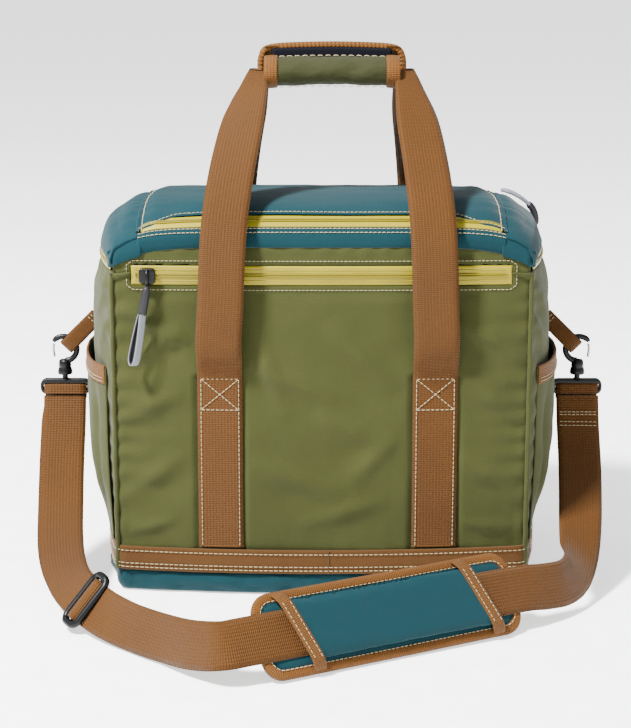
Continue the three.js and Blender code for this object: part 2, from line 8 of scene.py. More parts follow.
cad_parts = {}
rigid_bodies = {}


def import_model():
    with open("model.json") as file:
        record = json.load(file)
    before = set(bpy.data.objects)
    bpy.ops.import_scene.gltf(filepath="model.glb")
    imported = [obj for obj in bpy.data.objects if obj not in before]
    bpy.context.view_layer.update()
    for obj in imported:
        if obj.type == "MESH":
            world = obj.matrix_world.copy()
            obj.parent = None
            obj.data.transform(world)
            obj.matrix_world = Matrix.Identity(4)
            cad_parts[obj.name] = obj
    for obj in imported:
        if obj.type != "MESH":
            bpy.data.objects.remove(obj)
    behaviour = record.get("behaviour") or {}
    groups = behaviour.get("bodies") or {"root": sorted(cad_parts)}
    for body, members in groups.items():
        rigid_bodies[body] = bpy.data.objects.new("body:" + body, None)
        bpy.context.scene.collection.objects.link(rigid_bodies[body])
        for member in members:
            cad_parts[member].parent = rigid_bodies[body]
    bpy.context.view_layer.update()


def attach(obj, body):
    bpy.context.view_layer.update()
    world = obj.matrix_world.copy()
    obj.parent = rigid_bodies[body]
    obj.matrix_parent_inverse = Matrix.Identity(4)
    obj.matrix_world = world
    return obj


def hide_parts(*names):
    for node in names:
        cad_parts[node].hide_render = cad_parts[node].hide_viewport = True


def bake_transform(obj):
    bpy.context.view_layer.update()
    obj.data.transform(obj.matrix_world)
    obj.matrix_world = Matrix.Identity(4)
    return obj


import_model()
MM = 0.001

# ---- driving dimensions, in millimetres ----
HALF_WIDTH = 172
HALF_DEPTH = 108
FRONT_BOW = 12
TOP_BOW = 5
SIDE_BOW = 24
BASE_SIDE_BOW = 11.4
WALL_TOP = 298
BACK_TOP = 292
SIDE_TOP = 274
TUB_TOP = 19
LID_SEAM_X = 150
LID_HALF_Y = 113
LID_Z = 299
LID_RISE = 32
WEB_WIDTH = 38
WEB = 1.8
STRAP_X = 89
HANDLE_SHIFT = 5
STRAP_SEWN_TOP = 188
EDGE_STITCH_X = 15.6
X_BOX = 28
ZIP_HALF = 156
ZIP_Z = 272
ZIP_HALF_HEIGHT = 8
POCKET_HALF = 95
POCKET_TOP = 192
POCKET_BINDING = 16
POCKET_ROOM = 6
GRIP_HALF = 61
GRIP_SHIFT = 9
HOOK_X = 227


def mix(a, b, t):
    """The value a part t of the way from a to b."""
    return a + (b - a) * t


def smoothstep(x, low, high):
    """Rises smoothly from 0 at low to 1 at high."""
    t = np.clip((x - low) / (high - low), 0, 1)
    return t * t * (3 - 2 * t)


def bump(x, centre, width):
    """A smooth hump of height 1 round centre."""
    return np.exp(-((x - centre) / width) ** 2)


# ---- meshes ----
def unit(v):
    return v / np.maximum(np.linalg.norm(v, axis=-1, keepdims=True), 1e-9)


def run_along(points):
    """How far along a line each of its points lies."""
    return np.concatenate([[0], np.cumsum(np.linalg.norm(np.diff(points, axis=0), axis=1))])


def spread_round(outline, count):
    """count points spread evenly round a closed outline, and how far round each one lies."""
    closed = np.concatenate([outline, outline[:1]])
    run = run_along(closed)
    at = np.linspace(0, run[-1], count, endpoint=False)
    return np.stack([np.interp(at, run, closed[:, k]) for k in range(2)], -1), at


def point_noise(points, scale, seed):
    """Smooth noise from -1 to 1 at each point, with one wave about every scale millimetres."""
    flat = points.reshape(-1, 3) / scale + seed * 17.3
    values = np.array([noise.noise(Vector(p)) for p in flat])
    return values.reshape(points.shape[:-1])


def grid_normals(points):
    n = np.cross(np.gradient(points, axis=1), np.gradient(points, axis=0))
    return unit(n)


def grid_faces(rows, columns, wrap=False, keep=None):
    faces = []
    for j in range(rows - 1):
        for i in range(columns if wrap else columns - 1):
            if keep is None or keep[j, i]:
                k = (i + 1) % columns
                a = j * columns
                faces.append((a + i, a + k, a + columns + k, a + columns + i))
    return faces


def closing_faces(rows, columns):
    """Faces that join a grid's last row to its first, where the grid wraps round both ways."""
    last = (rows - 1) * columns
    return [(last + i, last + (i + 1) % columns, (i + 1) % columns, i) for i in range(columns)]


def end_caps(rows, columns):
    return [tuple(range(columns)), tuple(reversed(range((rows - 1) * columns, rows * columns)))]


def make(name, points, faces, material, uv=None, smooth=True):
    mesh = bpy.data.meshes.new(name)
    mesh.from_pydata([tuple(p) for p in np.asarray(points).reshape(-1, 3) * MM], [], faces)
    if uv is not None:
        layer = mesh.uv_layers.new(name="weave")
        loop_vertex = np.empty(len(mesh.loops), dtype=np.int32)
        mesh.loops.foreach_get("vertex_index", loop_vertex)
        layer.data.foreach_set("uv", (np.asarray(uv).reshape(-1, 2) * MM)[loop_vertex].ravel())
    mesh.materials.append(material)
    if smooth:
        mesh.polygons.foreach_set("use_smooth", [True] * len(mesh.polygons))
    mesh.update()
    piece = bpy.data.objects.new(name, mesh)
    bpy.context.scene.collection.objects.link(piece)
    return piece


def rim_faces(faces, offset):
    """Side faces that join each open edge of a sheet to its copy, offset vertices on."""
    seen = {}
    for face in faces:
        for a, b in zip(face, face[1:] + face[:1]):
            seen[(a, b)] = True
    return [(b, a, a + offset, b + offset) for a, b in seen if (b, a) not in seen]


def arc_uv(points):
    """Weave coordinates in millimetres: along the rows and up the columns."""
    across = np.linalg.norm(np.diff(points, axis=1), axis=-1).mean(0)
    up = np.linalg.norm(np.diff(points, axis=0), axis=-1).mean(1)
    u = np.concatenate([[0], np.cumsum(across)])
    v = np.concatenate([[0], np.cumsum(up)])
    return np.stack(np.meshgrid(u, v), -1)


def cloth(name, points, thickness, material, keep=None, inward=None):
    """A closed sheet of fabric: points is its outer face, and it is thickness deep behind it."""
    rows, columns = points.shape[:2]
    back = points - grid_normals(points) * thickness if inward is None else points + inward
    outer = grid_faces(rows, columns, keep=keep)
    count = rows * columns
    inner = [tuple(v + count for v in reversed(f)) for f in outer]
    faces = outer + inner + rim_faces(outer, count)
    uv = arc_uv(points)
    used = sorted({v for f in faces for v in f})
    table = {v: i for i, v in enumerate(used)}
    all_points = np.concatenate([points.reshape(-1, 3), back.reshape(-1, 3)])[used]
    all_uv = np.concatenate([uv.reshape(-1, 2), uv.reshape(-1, 2)])[used]
    faces = [tuple(table[v] for v in f) for f in faces]
    return make(name, all_points, faces, material, all_uv)


def soften(piece):
    modifier = piece.modifiers.new("subdivision", "SUBSURF")
    modifier.levels = 1
    modifier.render_levels = 1


def spline(points, count):
    """count points along a smooth curve through the given ones, spread evenly along it."""
    points = np.asarray(points, float)
    steps = 24
    out = []
    padded = np.concatenate([[2 * points[0] - points[1]], points, [2 * points[-1] - points[-2]]])
    for i in range(1, len(padded) - 2):
        p0, p1, p2, p3 = padded[i - 1:i + 3]
        for t in np.linspace(0, 1, steps, endpoint=False):
            out.append(0.5 * (2 * p1 + (p2 - p0) * t + (2 * p0 - 5 * p1 + 4 * p2 - p3) * t ** 2
                              + (3 * p1 - p0 - 3 * p2 + p3) * t ** 3))
    out.append(points[-1])
    out = np.array(out)
    length = run_along(out[:, :3])
    at = np.linspace(0, length[-1], count)
    return np.stack([np.interp(at, length, out[:, k]) for k in range(out.shape[1])], -1)


def ribbon(name, centre, side, width, thickness, material, cup=0.0, columns=7):
    """A flat strap along centre, its width along side: closed, with rounded edges."""
    centre = np.asarray(centre, float)
    rows = len(centre)
    along = unit(np.gradient(centre, axis=0))
    side = np.asarray(side, float)
    side = unit(side - along * (side * along).sum(-1, keepdims=True))
    out = np.cross(side, along)
    width = np.broadcast_to(np.asarray(width, float), (rows,))
    front = [(t * 0.985, 1.0 if abs(t) < 1 else 0.45) for t in np.linspace(-1, 1, columns)]
    section = front + [(t, -h) for t, h in reversed(front)]
    points = np.zeros((rows, len(section), 3))
    for k, (t, h) in enumerate(section):
        arch = cup * (1 - t * t)
        points[:, k] = (centre + side * (t * width / 2)[:, None]
                        + out * (h * thickness / 2 + arch))
    count = len(section)
    faces = grid_faces(rows, count, wrap=True) + end_caps(rows, count)
    length = run_along(centre)
    uv = np.zeros((rows, count, 2))
    for k, (t, _) in enumerate(section):
        uv[:, k, 0] = (t + 1) * WEB_WIDTH / 2
        uv[:, k, 1] = length
    return make(name, points, orient(points, faces), material, uv)


def orient(points, faces):
    """The same faces, turned round if they enclose a negative volume."""
    flat = np.asarray(points).reshape(-1, 3)
    volume = 0.0
    for face in faces:
        a = flat[face[0]]
        for b, c in zip(face[1:-1], face[2:]):
            volume += np.dot(a, np.cross(flat[b], flat[c]))
    return faces if volume > 0 else [tuple(reversed(f)) for f in faces]


def tube(name, centre, radius, material, sides=12, closed=False):
    """A round bar along centre, capped at its ends unless it is closed on itself."""
    centre = np.asarray(centre, float)
    rows = len(centre)
    if closed:
        along = unit(np.roll(centre, -1, 0) - np.roll(centre, 1, 0))
    else:
        along = unit(np.gradient(centre, axis=0))
    hint = np.array([0.0, 0.0, 1.0]) if abs(along[0][2]) < 0.9 else np.array([0.0, 1.0, 0.0])
    side = unit(np.cross(along[0], hint))
    sides_list = []
    for t in along:
        side = unit(side - t * np.dot(side, t))
        sides_list.append(side)
    side = np.array(sides_list)
    up = np.cross(along, side)
    radius = np.broadcast_to(np.asarray(radius, float), (rows,))
    angle = np.linspace(0, 2 * np.pi, sides, endpoint=False)
    points = (centre[:, None] + radius[:, None, None] * (np.cos(angle)[None, :, None] * side[:, None]
              + np.sin(angle)[None, :, None] * up[:, None]))
    faces = grid_faces(rows, sides, wrap=True)
    faces += closing_faces(rows, sides) if closed else end_caps(rows, sides)
    length = np.arange(rows) * 1.0
    uv = np.stack(np.meshgrid(np.arange(sides) * 1.0, length), -1)
    return make(name, points, orient(points, faces), material, uv)


def plate(name, outline, holes, origin, x_axis, y_axis, depth, material, bevel=0.6, segments=3):
    """A moulded plate: an outline with holes, centred on its own plane, with rounded edges."""
    curve = bpy.data.curves.new(name, "CURVE")
    curve.dimensions = "2D"
    curve.fill_mode = "BOTH"
    for ring in [outline, *holes]:
        s = curve.splines.new("POLY")
        s.points.add(len(ring) - 1)
        for point, (x, y) in zip(s.points, ring):
            point.co = (x * MM, y * MM, 0, 1)
        s.use_cyclic_u = True
    curve.extrude = (depth / 2 - bevel) * MM
    curve.bevel_depth = bevel * MM
    curve.bevel_resolution = segments - 1
    curve.offset = -bevel * MM
    holder = bpy.data.objects.new(name + "_outline", curve)
    bpy.context.scene.collection.objects.link(holder)
    graph = bpy.context.evaluated_depsgraph_get()
    mesh = bpy.data.meshes.new_from_object(holder.evaluated_get(graph))
    bpy.data.objects.remove(holder)
    x_axis, y_axis = unit(np.array(x_axis, float)), unit(np.array(y_axis, float))
    z_axis = np.cross(x_axis, y_axis)
    co = np.empty(len(mesh.vertices) * 3)
    mesh.vertices.foreach_get("co", co)
    co = co.reshape(-1, 3)
    world = np.array(origin) * MM + co[:, :1] * x_axis + co[:, 1:2] * y_axis + co[:, 2:] * z_axis
    mesh.vertices.foreach_set("co", world.ravel())
    mesh.name = name
    mesh.materials.clear()
    mesh.materials.append(material)
    mesh.polygons.foreach_set("use_smooth", [True] * len(mesh.polygons))
    piece = bpy.data.objects.new(name, mesh)
    bpy.context.scene.collection.objects.link(piece)
    weld = piece.modifiers.new("weld", "WELD")
    weld.merge_threshold = 0.00001
    return piece


def rounded(half_x, half_y, radius, steps=5):
    """A rounded rectangle's outline."""
    out = []
    for cx, cy, start in ((1, -1, -90), (1, 1, 0), (-1, 1, 90), (-1, -1, 180)):
        for i in range(steps + 1):
            a = math.radians(start + 90 * i / steps)
            out.append((cx * (half_x - radius) + radius * math.cos(a),
                        cy * (half_y - radius) + radius * math.sin(a)))
    return out


def fit(piece, body, slot=None, *nodes):
    """Attaches a piece to the body it rides on and hides the CAD nodes it stands for; slot, what it is
    made of, is not used.
    """
    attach(piece, body)
    if nodes:
        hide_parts(*nodes)
    return piece


# ---- stitching ----
class Thread:
    """Collects stitches, and turns them into one mesh for each body they are sewn to."""

    def __init__(self):
        self.rows = {}

    def sew(self, group, points, normals, pitch=4.0, length=3.0, radius=0.45, close=False):
        points = np.asarray(points, float)
        normals = np.broadcast_to(np.asarray(normals, float), points.shape)
        if close:
            points = np.concatenate([points, points[:1]])
            normals = np.concatenate([normals, normals[:1]])
        run = run_along(points)
        count = max(1, int(run[-1] / pitch))
        step = run[-1] / count
        for i in range(count):
            start = (i + 0.5) * step - length / 2
            ts = start + np.array([0.0, 0.14, 0.5, 0.86, 1.0]) * length
            p = np.stack([np.interp(ts, run, points[:, k]) for k in range(3)], -1)
            n = unit(np.stack([np.interp(ts, run, normals[:, k]) for k in range(3)], -1))
            heights = np.array([-0.6, 0.35, 0.6, 0.35, -0.6]) * radius
            self.rows.setdefault(group, []).append((p + n * heights[:, None], n, radius))

    def weave(self, material):
        angle = np.linspace(0, 2 * np.pi, 5, endpoint=False)
        pieces = {}
        for group, rows in self.rows.items():
            points, faces = [], []
            for centre, normal, radius in rows:
                along = unit(np.gradient(centre, axis=0))
                side = unit(np.cross(along, normal))
                up = np.cross(side, along)
                sizes = np.array([0.5, 0.9, 0.95, 0.9, 0.5]) * radius * 0.85
                ring = (centre[:, None] + sizes[:, None, None]
                        * (np.cos(angle)[None, :, None] * side[:, None]
                        + 0.8 * np.sin(angle)[None, :, None] * up[:, None]))
                base = len(points) * 25
                points.append(ring.reshape(-1, 3))
                faces += [tuple(base + v for v in f) for f in grid_faces(5, 5, wrap=True)
                          + end_caps(5, 5)]
            pieces[group] = make(group, np.concatenate(points), turned_out(points, faces), material)
        return pieces


def turned_out(points, faces):
    """Stitches are alike, so the first one tells which way all their faces point."""
    first = orient(points[0], faces[:22])
    return faces if first[0] == faces[0] else [tuple(reversed(f)) for f in faces]


thread = Thread()


# ---- materials ----
class Shader:
    """A node tree with one Principled shader, and short helpers for the maps that feed it."""

    def __init__(self, name, colour, roughness, **constants):
        self.material = bpy.data.materials.new(name)
        self.material.use_nodes = True
        self.tree = self.material.node_tree
        self.shader = self.tree.nodes["Principled BSDF"]
        self.colour = (*[srgb(c) for c in colour], 1)
        self.shader.inputs["Base Color"].default_value = self.colour
        self.shader.inputs["Roughness"].default_value = roughness
        for key, value in constants.items():
            self.shader.inputs[key.replace("_", " ")].default_value = value
        self.height = None

    def add(self, kind, **values):
        node = self.tree.nodes.new(kind)
        for key, value in values.items():
            if isinstance(value, bpy.types.NodeSocket):
                self.tree.links.new(value, node.inputs[key])
            elif key in node.inputs:
                node.inputs[key].default_value = value
            else:
                setattr(node, key, value)
        return node

    def objects(self):
        return self.add("ShaderNodeTexCoord").outputs["Object"]

    def weave(self):
        return self.add("ShaderNodeUVMap", uv_map="weave").outputs["UV"]

    def noise(self, scale, detail=3.0, vector=None):
        node = self.add("ShaderNodeTexNoise", Scale=scale, Detail=detail,
                        Vector=vector or self.objects())
        return node.outputs[0]

    def waves(self, direction, scale, vector=None, distortion=0.0):
        node = self.add("ShaderNodeTexWave", wave_type="BANDS", bands_direction=direction,
                        Scale=scale, Distortion=distortion, Vector=vector or self.weave())
        return node.outputs["Fac"]

    def maths(self, operation, a, b):
        node = self.add("ShaderNodeMath", operation=operation)
        for socket, value in zip(node.inputs, (a, b)):
            if isinstance(value, bpy.types.NodeSocket):
                self.tree.links.new(value, socket)
            else:
                socket.default_value = value
        return node.outputs[0]

    def tint(self, factor, low, high):
        """Scales the colour from low to high as factor goes from 0.3 to 0.7."""
        ramp = self.add("ShaderNodeMapRange")
        self.tree.links.new(factor, ramp.inputs["Value"])
        for socket, value in (("From Min", 0.3), ("From Max", 0.7), ("To Min", low), ("To Max", high)):
            ramp.inputs[socket].default_value = value
        vector = self.add("ShaderNodeVectorMath", operation="SCALE")
        base = self.shader.inputs["Base Color"]
        if base.is_linked:
            self.tree.links.new(base.links[0].from_socket, vector.inputs[0])
        else:
            vector.inputs[0].default_value = self.colour[:3]
        self.tree.links.new(ramp.outputs[0], vector.inputs["Scale"])
        self.tree.links.new(vector.outputs[0], base)

    def bump(self, height, depth, strength=1.0):
        node = self.add("ShaderNodeBump", Distance=depth * MM, Strength=strength)
        self.tree.links.new(height, node.inputs["Height"])
        normal = self.shader.inputs["Normal"]
        if normal.is_linked:
            self.tree.links.new(normal.links[0].from_socket, node.inputs["Normal"])
        self.tree.links.new(node.outputs[0], normal)


def srgb(value):
    value = value / 255
    return value / 12.92 if value <= 0.04045 else ((value + 0.055) / 1.055) ** 2.4


def canvas(name, colour, weave_scale=285.0, sheen=0.06):
    """Coarse plain-woven polyester canvas, a little faded where it rubs."""
    s = Shader(name, colour, 0.8, Sheen_Weight=sheen, Sheen_Roughness=0.5, Specular_IOR_Level=0.1)
    across = s.waves("X", weave_scale)
    along = s.waves("Y", weave_scale)
    cross = s.maths("MULTIPLY", across, along)
    s.tint(s.noise(9.0, 4.0), 0.93, 1.07)
    s.tint(s.noise(900.0, 2.0), 0.95, 1.05)
    s.tint(cross, 0.92, 1.06)
    s.bump(s.noise(140.0, 3.0), 0.35, 0.5)
    s.bump(cross, 0.22, 0.7)
    return s.material


def webbing(name, colour):
    """Herringbone-like polypropylene webbing, with fine ribs across the strap."""
    s = Shader(name, colour, 0.62, Sheen_Weight=0.04, Sheen_Roughness=0.4, Specular_IOR_Level=0.12)
    ribs = s.waves("Y", 200.0)
    columns = s.waves("X", 120.0)
    cross = s.maths("MULTIPLY", ribs, s.maths("ADD", columns, 0.5))
    s.tint(s.noise(14.0, 3.0), 0.92, 1.08)
    s.tint(s.noise(1100.0, 2.0), 0.86, 1.12)
    s.tint(cross, 0.8, 1.12)
    s.bump(cross, 0.4, 1.0)
    return s.material


def plain(name, colour, roughness, grain=0.0, **constants):
    s = Shader(name, colour, roughness, **constants)
    s.tint(s.noise(35.0, 4.0), 0.95, 1.05)
    if grain:
        s.bump(s.noise(700.0, 3.0), grain, 0.6)
    return s.material


def zip_tape(name, colour):
    """Zip tape coated in a thin shiny film."""
    s = Shader(name, colour, 0.42, Coat_Weight=0.05, Coat_Roughness=0.35, Specular_IOR_Level=0.25)
    s.tint(s.noise(30.0, 4.0), 0.93, 1.06)
    s.bump(s.waves("Y", 500.0), 0.06, 0.5)
    s.bump(s.noise(120.0, 3.0), 0.25, 0.5)
    return s.material


OLIVE = canvas("olive_canvas", (46, 49, 18))
OLIVE_GRIP = canvas("olive_grip_canvas", (36, 38, 16))
TEAL = canvas("teal_canvas", (0, 38, 44))
BAND = canvas("band_canvas", (66, 41, 13), 330.0)
TAPE = webbing("binding_tape", (84, 51, 14))
WEBBING = webbing("tan_webbing", (66, 38, 4))
YELLOW = zip_tape("yellow_zip_tape", (124, 112, 0))
COIL = plain("yellow_zip_coil", (98, 88, 0), 0.45, Specular_IOR_Level=0.2)
PLASTIC = plain("black_plastic", (3, 3, 4), 0.4, 0.04, Specular_IOR_Level=0.18)
STEEL = plain("bright_wire", (150, 152, 156), 0.24, Metallic=1.0)
THREAD = plain("cream_thread", (146, 134, 104), 0.7, Specular_IOR_Level=0.15)
GREY_CORD = plain("grey_cord", (104, 107, 113), 0.5, 0.05, Specular_IOR_Level=0.2)
SLEEVE = plain("pull_sleeve", (20, 19, 23), 0.5, 0.05, Specular_IOR_Level=0.25)
CLOSURE = plain("dark_closure", (9, 9, 15), 0.95, 0.5, Specular_IOR_Level=0.1)
FOAM = plain("grey_foam", (120, 122, 124), 0.9, 0.2)
LINER = plain("silver_liner", (118, 121, 126), 0.32, 0.05, Metallic=0.45)
BOARD = plain("stiff_board", (26, 27, 30), 0.7)
DARK = plain("dark_lining", (14, 16, 17), 0.9)

# ---- camera and the shoulder strap's cord come first ----
DISTANCE = 1650
PITCH = math.radians(13)
camera_data = bpy.data.cameras.new("camera")
camera_data.lens = 92.07
camera_data.sensor_width = 36
camera = bpy.data.objects.new("camera", camera_data)
camera.location = (-5 * MM, -DISTANCE * math.cos(PITCH) * MM, (172 + DISTANCE * math.sin(PITCH)) * MM)
camera.rotation_euler = (math.pi / 2 - PITCH, 0, 0)
bpy.context.scene.collection.objects.link(camera)
bpy.context.scene.camera = camera

# Rows of the strap's way: its middle, then the direction of its width.
ROUTE = [
    (-227, -5, 144.4, 1, 0, 0), (-227, -12, 124, 1, 0, 0), (-227, -30, 94, 1, 0, 0),
    (-225, -60, 64, 1, 0, .03), (-221, -98, 43, 1, 0, .1), (-214, -136, 32, .95, .1, .3),
    (-203, -170, 26.5, .75, .28, .6), (-187, -197, 22, .58, .33, .74),
    (-170, -221, 20, .35, .36, .86), (-147, -246, 19, .08, .34, .94),
    (-122, -270, 20, 0, .36, .93), (-98, -295, 24, 0, .45, .89),
    (-75, -311, 29.5, 0, .55, .83), (-54, -306, 31.4, 0, .57, .82),
    (51, -250.7, 31.4, 0, .57, .82), (164, -191.2, 31.4, 0, .57, .82),
    (181, -180.5, 29, 0, .5, .86), (199, -165, 27, -.15, .35, .92),
    (211, -143, 28.5, -.45, .22, .85), (217, -115, 37, -.8, .1, .5),
    (222, -82, 58, -1, 0, .15), (226, -42, 90, -1, 0, 0),
    (227, -14, 122, -1, 0, 0), (227, -5, 144.4, -1, 0, 0),
]
ROUTE_POINTS = np.array([row[:3] for row in ROUTE], float)
ROUTE_SIDES = unit(np.array([row[3:] for row in ROUTE], float))
ROUTE_LAST = len(ROUTE) - 1


def route_at(row):
    """The strap's middle at a place on the route, counted in rows: a centripetal spline."""
    i = int(min(max(math.floor(row), 0), ROUTE_LAST - 1))
    t = row - i
    p1, p2 = ROUTE_POINTS[i], ROUTE_POINTS[i + 1]
    p0 = ROUTE_POINTS[i - 1] if i else 2 * p1 - p2
    p3 = ROUTE_POINTS[i + 2] if i + 2 <= ROUTE_LAST else 2 * p2 - p1
    d0, d1, d2 = (max(np.linalg.norm(b - a), 1e-6) ** 0.5 for a, b in ((p0, p1), (p1, p2), (p2, p3)))
    m1 = ((p1 - p0) / d0 - (p2 - p0) / (d0 + d1) + (p2 - p1) / d1) * d1
    m2 = ((p2 - p1) / d1 - (p3 - p1) / (d1 + d2) + (p3 - p2) / d2) * d1
    return ((2 * t ** 3 - 3 * t ** 2 + 1) * p1 + (t ** 3 - 2 * t ** 2 + t) * m1
            + (3 * t ** 2 - 2 * t ** 3) * p2 + (t ** 3 - t ** 2) * m2)


def route_frames(start, end, count):
    """Middles, width directions, ways along and directions away from the viewer."""
    rows = np.linspace(start, end, count)
    middle = np.array([route_at(r) for r in rows])
    ahead = np.array([route_at(min(r + 0.02, ROUTE_LAST)) for r in rows])
    behind = np.array([route_at(max(r - 0.02, 0)) for r in rows])
    along = unit(ahead - behind)
    i = np.minimum(rows.astype(int), ROUTE_LAST - 1)
    t = (rows - i)[:, None]
    side = mix(ROUTE_SIDES[i], ROUTE_SIDES[i + 1], t)
    side = unit(side - along * (side * along).sum(-1, keepdims=True))
    return middle, side, along, np.cross(side, along)


middle, side, along, back = route_frames(0, ROUTE_LAST, 260)
strap = ribbon("shoulder_strap_webbing", middle, side, WEB_WIDTH, WEB, WEBBING, cup=0.25, columns=9)
fit(strap, "root", "webbing", "shoulder_strap")


# ---- the shape of the walls ----
def front_y(x, z):
    """How far out the front and back walls stand, bowed outwards between their seams."""
    return HALF_DEPTH + mix(FRONT_BOW, TOP_BOW, smoothstep(z, 60, 250)) * (1 - (x / HALF_WIDTH) ** 2)


def side_x(y, z):
    """How far out the side walls stand."""
    tall = mix(0.35, 1, smoothstep(z, 10, 130)) * mix(1, 0.75, smoothstep(z, 220, 300))
    return HALF_WIDTH + SIDE_BOW * (1 - (y / HALF_DEPTH) ** 2) * tall


def wall_top(x, top):
    """A wall's top edge dips at its two ends."""
    return top - 16 * np.abs(x / HALF_WIDTH) ** 6


def fold_line(x, z, x0, z0, x1, z1, width):
    """One soft crease from a point to another, deepest in its middle, dying out at both ends."""
    dx, dz = x1 - x0, z1 - z0
    length = math.hypot(dx, dz)
    t = ((x - x0) * dx + (z - z0) * dz) / length ** 2
    d = ((x - x0) * dz - (z - z0) * dx) / length
    fade = np.clip(1 - np.abs(2 * t - 1), 0, 1) ** 0.7
    return fade * (np.exp(-(d / width) ** 2) - 0.45 * np.exp(-((d - 1.9 * width) / (1.5 * width)) ** 2))


FRONT_FOLDS = [
    (-168, 246, -108, 214, 6, 1.7), (-166, 196, -112, 228, 7, 1.5), (-170, 150, -112, 176, 8, 1.6),
    (-166, 84, -112, 122, 8, 1.5), (-164, 52, -118, 66, 5, 1.1), (-60, 246, -28, 150, 8, 1.3),
    (-62, 200, 12, 166, 9, 1.4), (-58, 118, 18, 84, 9, 1.5), (2, 232, 62, 176, 9, 1.5),
    (-20, 62, 56, 84, 7, 1.2), (64, 138, 20, 96, 8, 1.3), (112, 236, 166, 204, 7, 1.7),
    (114, 190, 168, 148, 8, 1.7), (112, 120, 166, 90, 8, 1.6), (116, 64, 160, 54, 5, 1.1),
    (-6, 158, 62, 126, 10, 1.2),
]
SIDE_FOLDS = [
    (-100, 262, -52, 226, 7, 1.8), (-104, 236, -70, 204, 6, 1.5), (100, 258, 44, 222, 7, 1.8),
    (-20, 262, 24, 214, 9, 1.4), (102, 226, 68, 200, 6, 1.5),
]


def puckers(along, pitch, seed):
    """Small gathers that a seam pulls into the cloth beside it."""
    wander = np.sin(along / 61 + seed) * 0.9 + np.sin(along / 23 + 2.2 * seed) * 0.5
    return 0.5 + 0.5 * np.sin(2 * np.pi * along / pitch + 3.1 * wander + seed)


def face_relief(x, z, seed, folds, half, low, high):
    """How far a wall's cloth stands out from its plain surface, in millimetres."""
    to_side = half - np.abs(x)
    to_end = np.minimum(z - low, high - z)
    edge = np.minimum(to_side, to_end)
    swell = 2.2 * smoothstep(edge, 0, 34) - 1.5 * np.exp(-(edge / 3.2) ** 2)
    gather_side = np.exp(-to_side / 17) * (puckers(z, 19, seed) - 0.5) * 2.8
    gather_end = np.exp(-to_end / 13) * (puckers(x, 21, seed + 2) - 0.5) * 1.5
    points = np.stack([x, z, np.zeros_like(x)], -1)
    drift = point_noise(points, 62, seed) * 2.0 + point_noise(points, 26, seed + 1) * 0.9
    fine = point_noise(points, 9, seed + 3) * 0.12
    creases = sum(2.5 * h * fold_line(x, z, a, b, c, d, w) for a, b, c, d, w, h in folds)
    quiet = smoothstep(edge, 0, 12)
    return swell + (gather_side + gather_end) * smoothstep(edge, -1,
                                                           5) + (drift + fine + creases) * quiet


def strap_press(x, z, relief, centres):
    """The sewn straps hold the cloth flat under them and pinch it along their edges."""
    for centre in centres:
        from_edge = np.abs(np.abs(x - centre) - WEB_WIDTH / 2)
        inside = smoothstep(WEB_WIDTH / 2 + 5 - np.abs(x - centre), 0,
                            6) * smoothstep(STRAP_SEWN_TOP + 3 - z, 0, 5)
        relief = relief * (1 - inside)
        relief = relief - 0.7 * np.exp(-(from_edge / 3.5) ** 2) * smoothstep(STRAP_SEWN_TOP + 4 - z, 0,
                                                                             6)
    return relief


def facing(sign, x, z, centres, seed, folds, top):
    relief = face_relief(x, z, seed, folds, HALF_WIDTH, TUB_TOP, top)
    relief = strap_press(x, z, relief, centres)
    if sign < 0:
        frame_edge = np.maximum(np.abs(x) - ZIP_HALF, np.abs(z - ZIP_Z) - ZIP_HALF_HEIGHT)
        relief = relief * smoothstep(frame_edge, 1, 16) + 0.9 * np.exp(-((frame_edge - 2.6) / 3.0) ** 2)
    return np.clip(relief, -1.6, 6.5)


STRAP_CENTRES = (HANDLE_SHIFT - STRAP_X, HANDLE_SHIFT + STRAP_X)


def face_point(sign, x, z, out=0.0):
    """A point out from the front wall (sign -1) or the back wall (sign 1)."""
    x, z = np.broadcast_arrays(np.asarray(x, float), np.asarray(z, float))
    return np.stack([x, sign * (front_y(x, z) + out), z], -1)


face_reliefs = {}
for name, sign, seed, top in (("front_canvas", -1, 3.0, WALL_TOP), ("back_canvas", 1, 8.0, BACK_TOP)):
    xs = np.linspace(-HALF_WIDTH + 0.4, HALF_WIDTH - 0.4, 173)
    if sign < 0:
        xs[np.argmin(np.abs(xs + ZIP_HALF))] = -ZIP_HALF
        xs[np.argmin(np.abs(xs - ZIP_HALF))] = ZIP_HALF
    levels = np.unique(np.concatenate([np.linspace(TUB_TOP, ZIP_Z - ZIP_HALF_HEIGHT, 125),
                                       [ZIP_Z - 4, ZIP_Z, ZIP_Z + 4, ZIP_Z + ZIP_HALF_HEIGHT],
                                       np.linspace(ZIP_Z + ZIP_HALF_HEIGHT, top, 10)]))
    X, Z = np.meshgrid(xs, levels)
    lowered = TUB_TOP + (Z - TUB_TOP) * (wall_top(X, top) - TUB_TOP) / (top - TUB_TOP)
    Z = np.minimum(Z, lowered + 400 * (Z < 280))
    relief = facing(sign, X, Z, STRAP_CENTRES, seed, FRONT_FOLDS if sign < 0 else FRONT_FOLDS[::2], top)
    points = face_point(sign, X, Z, relief)
    keep = None
    if sign < 0:
        mid_x = (X[:-1, :-1] + X[:-1, 1:]) / 2
        mid_z = (Z[:-1, :-1] + Z[1:, :-1]) / 2
        keep = (np.abs(mid_x) > ZIP_HALF) | (np.abs(mid_z - ZIP_Z) > ZIP_HALF_HEIGHT)
    else:
        points = points[:, ::-1]
    piece = cloth(name, points, 2.4, OLIVE, keep)
    soften(piece)
    fit(piece, "root", "olive_canvas", "front_panel" if sign < 0 else "back_panel")
    face_reliefs[sign] = (seed, top)


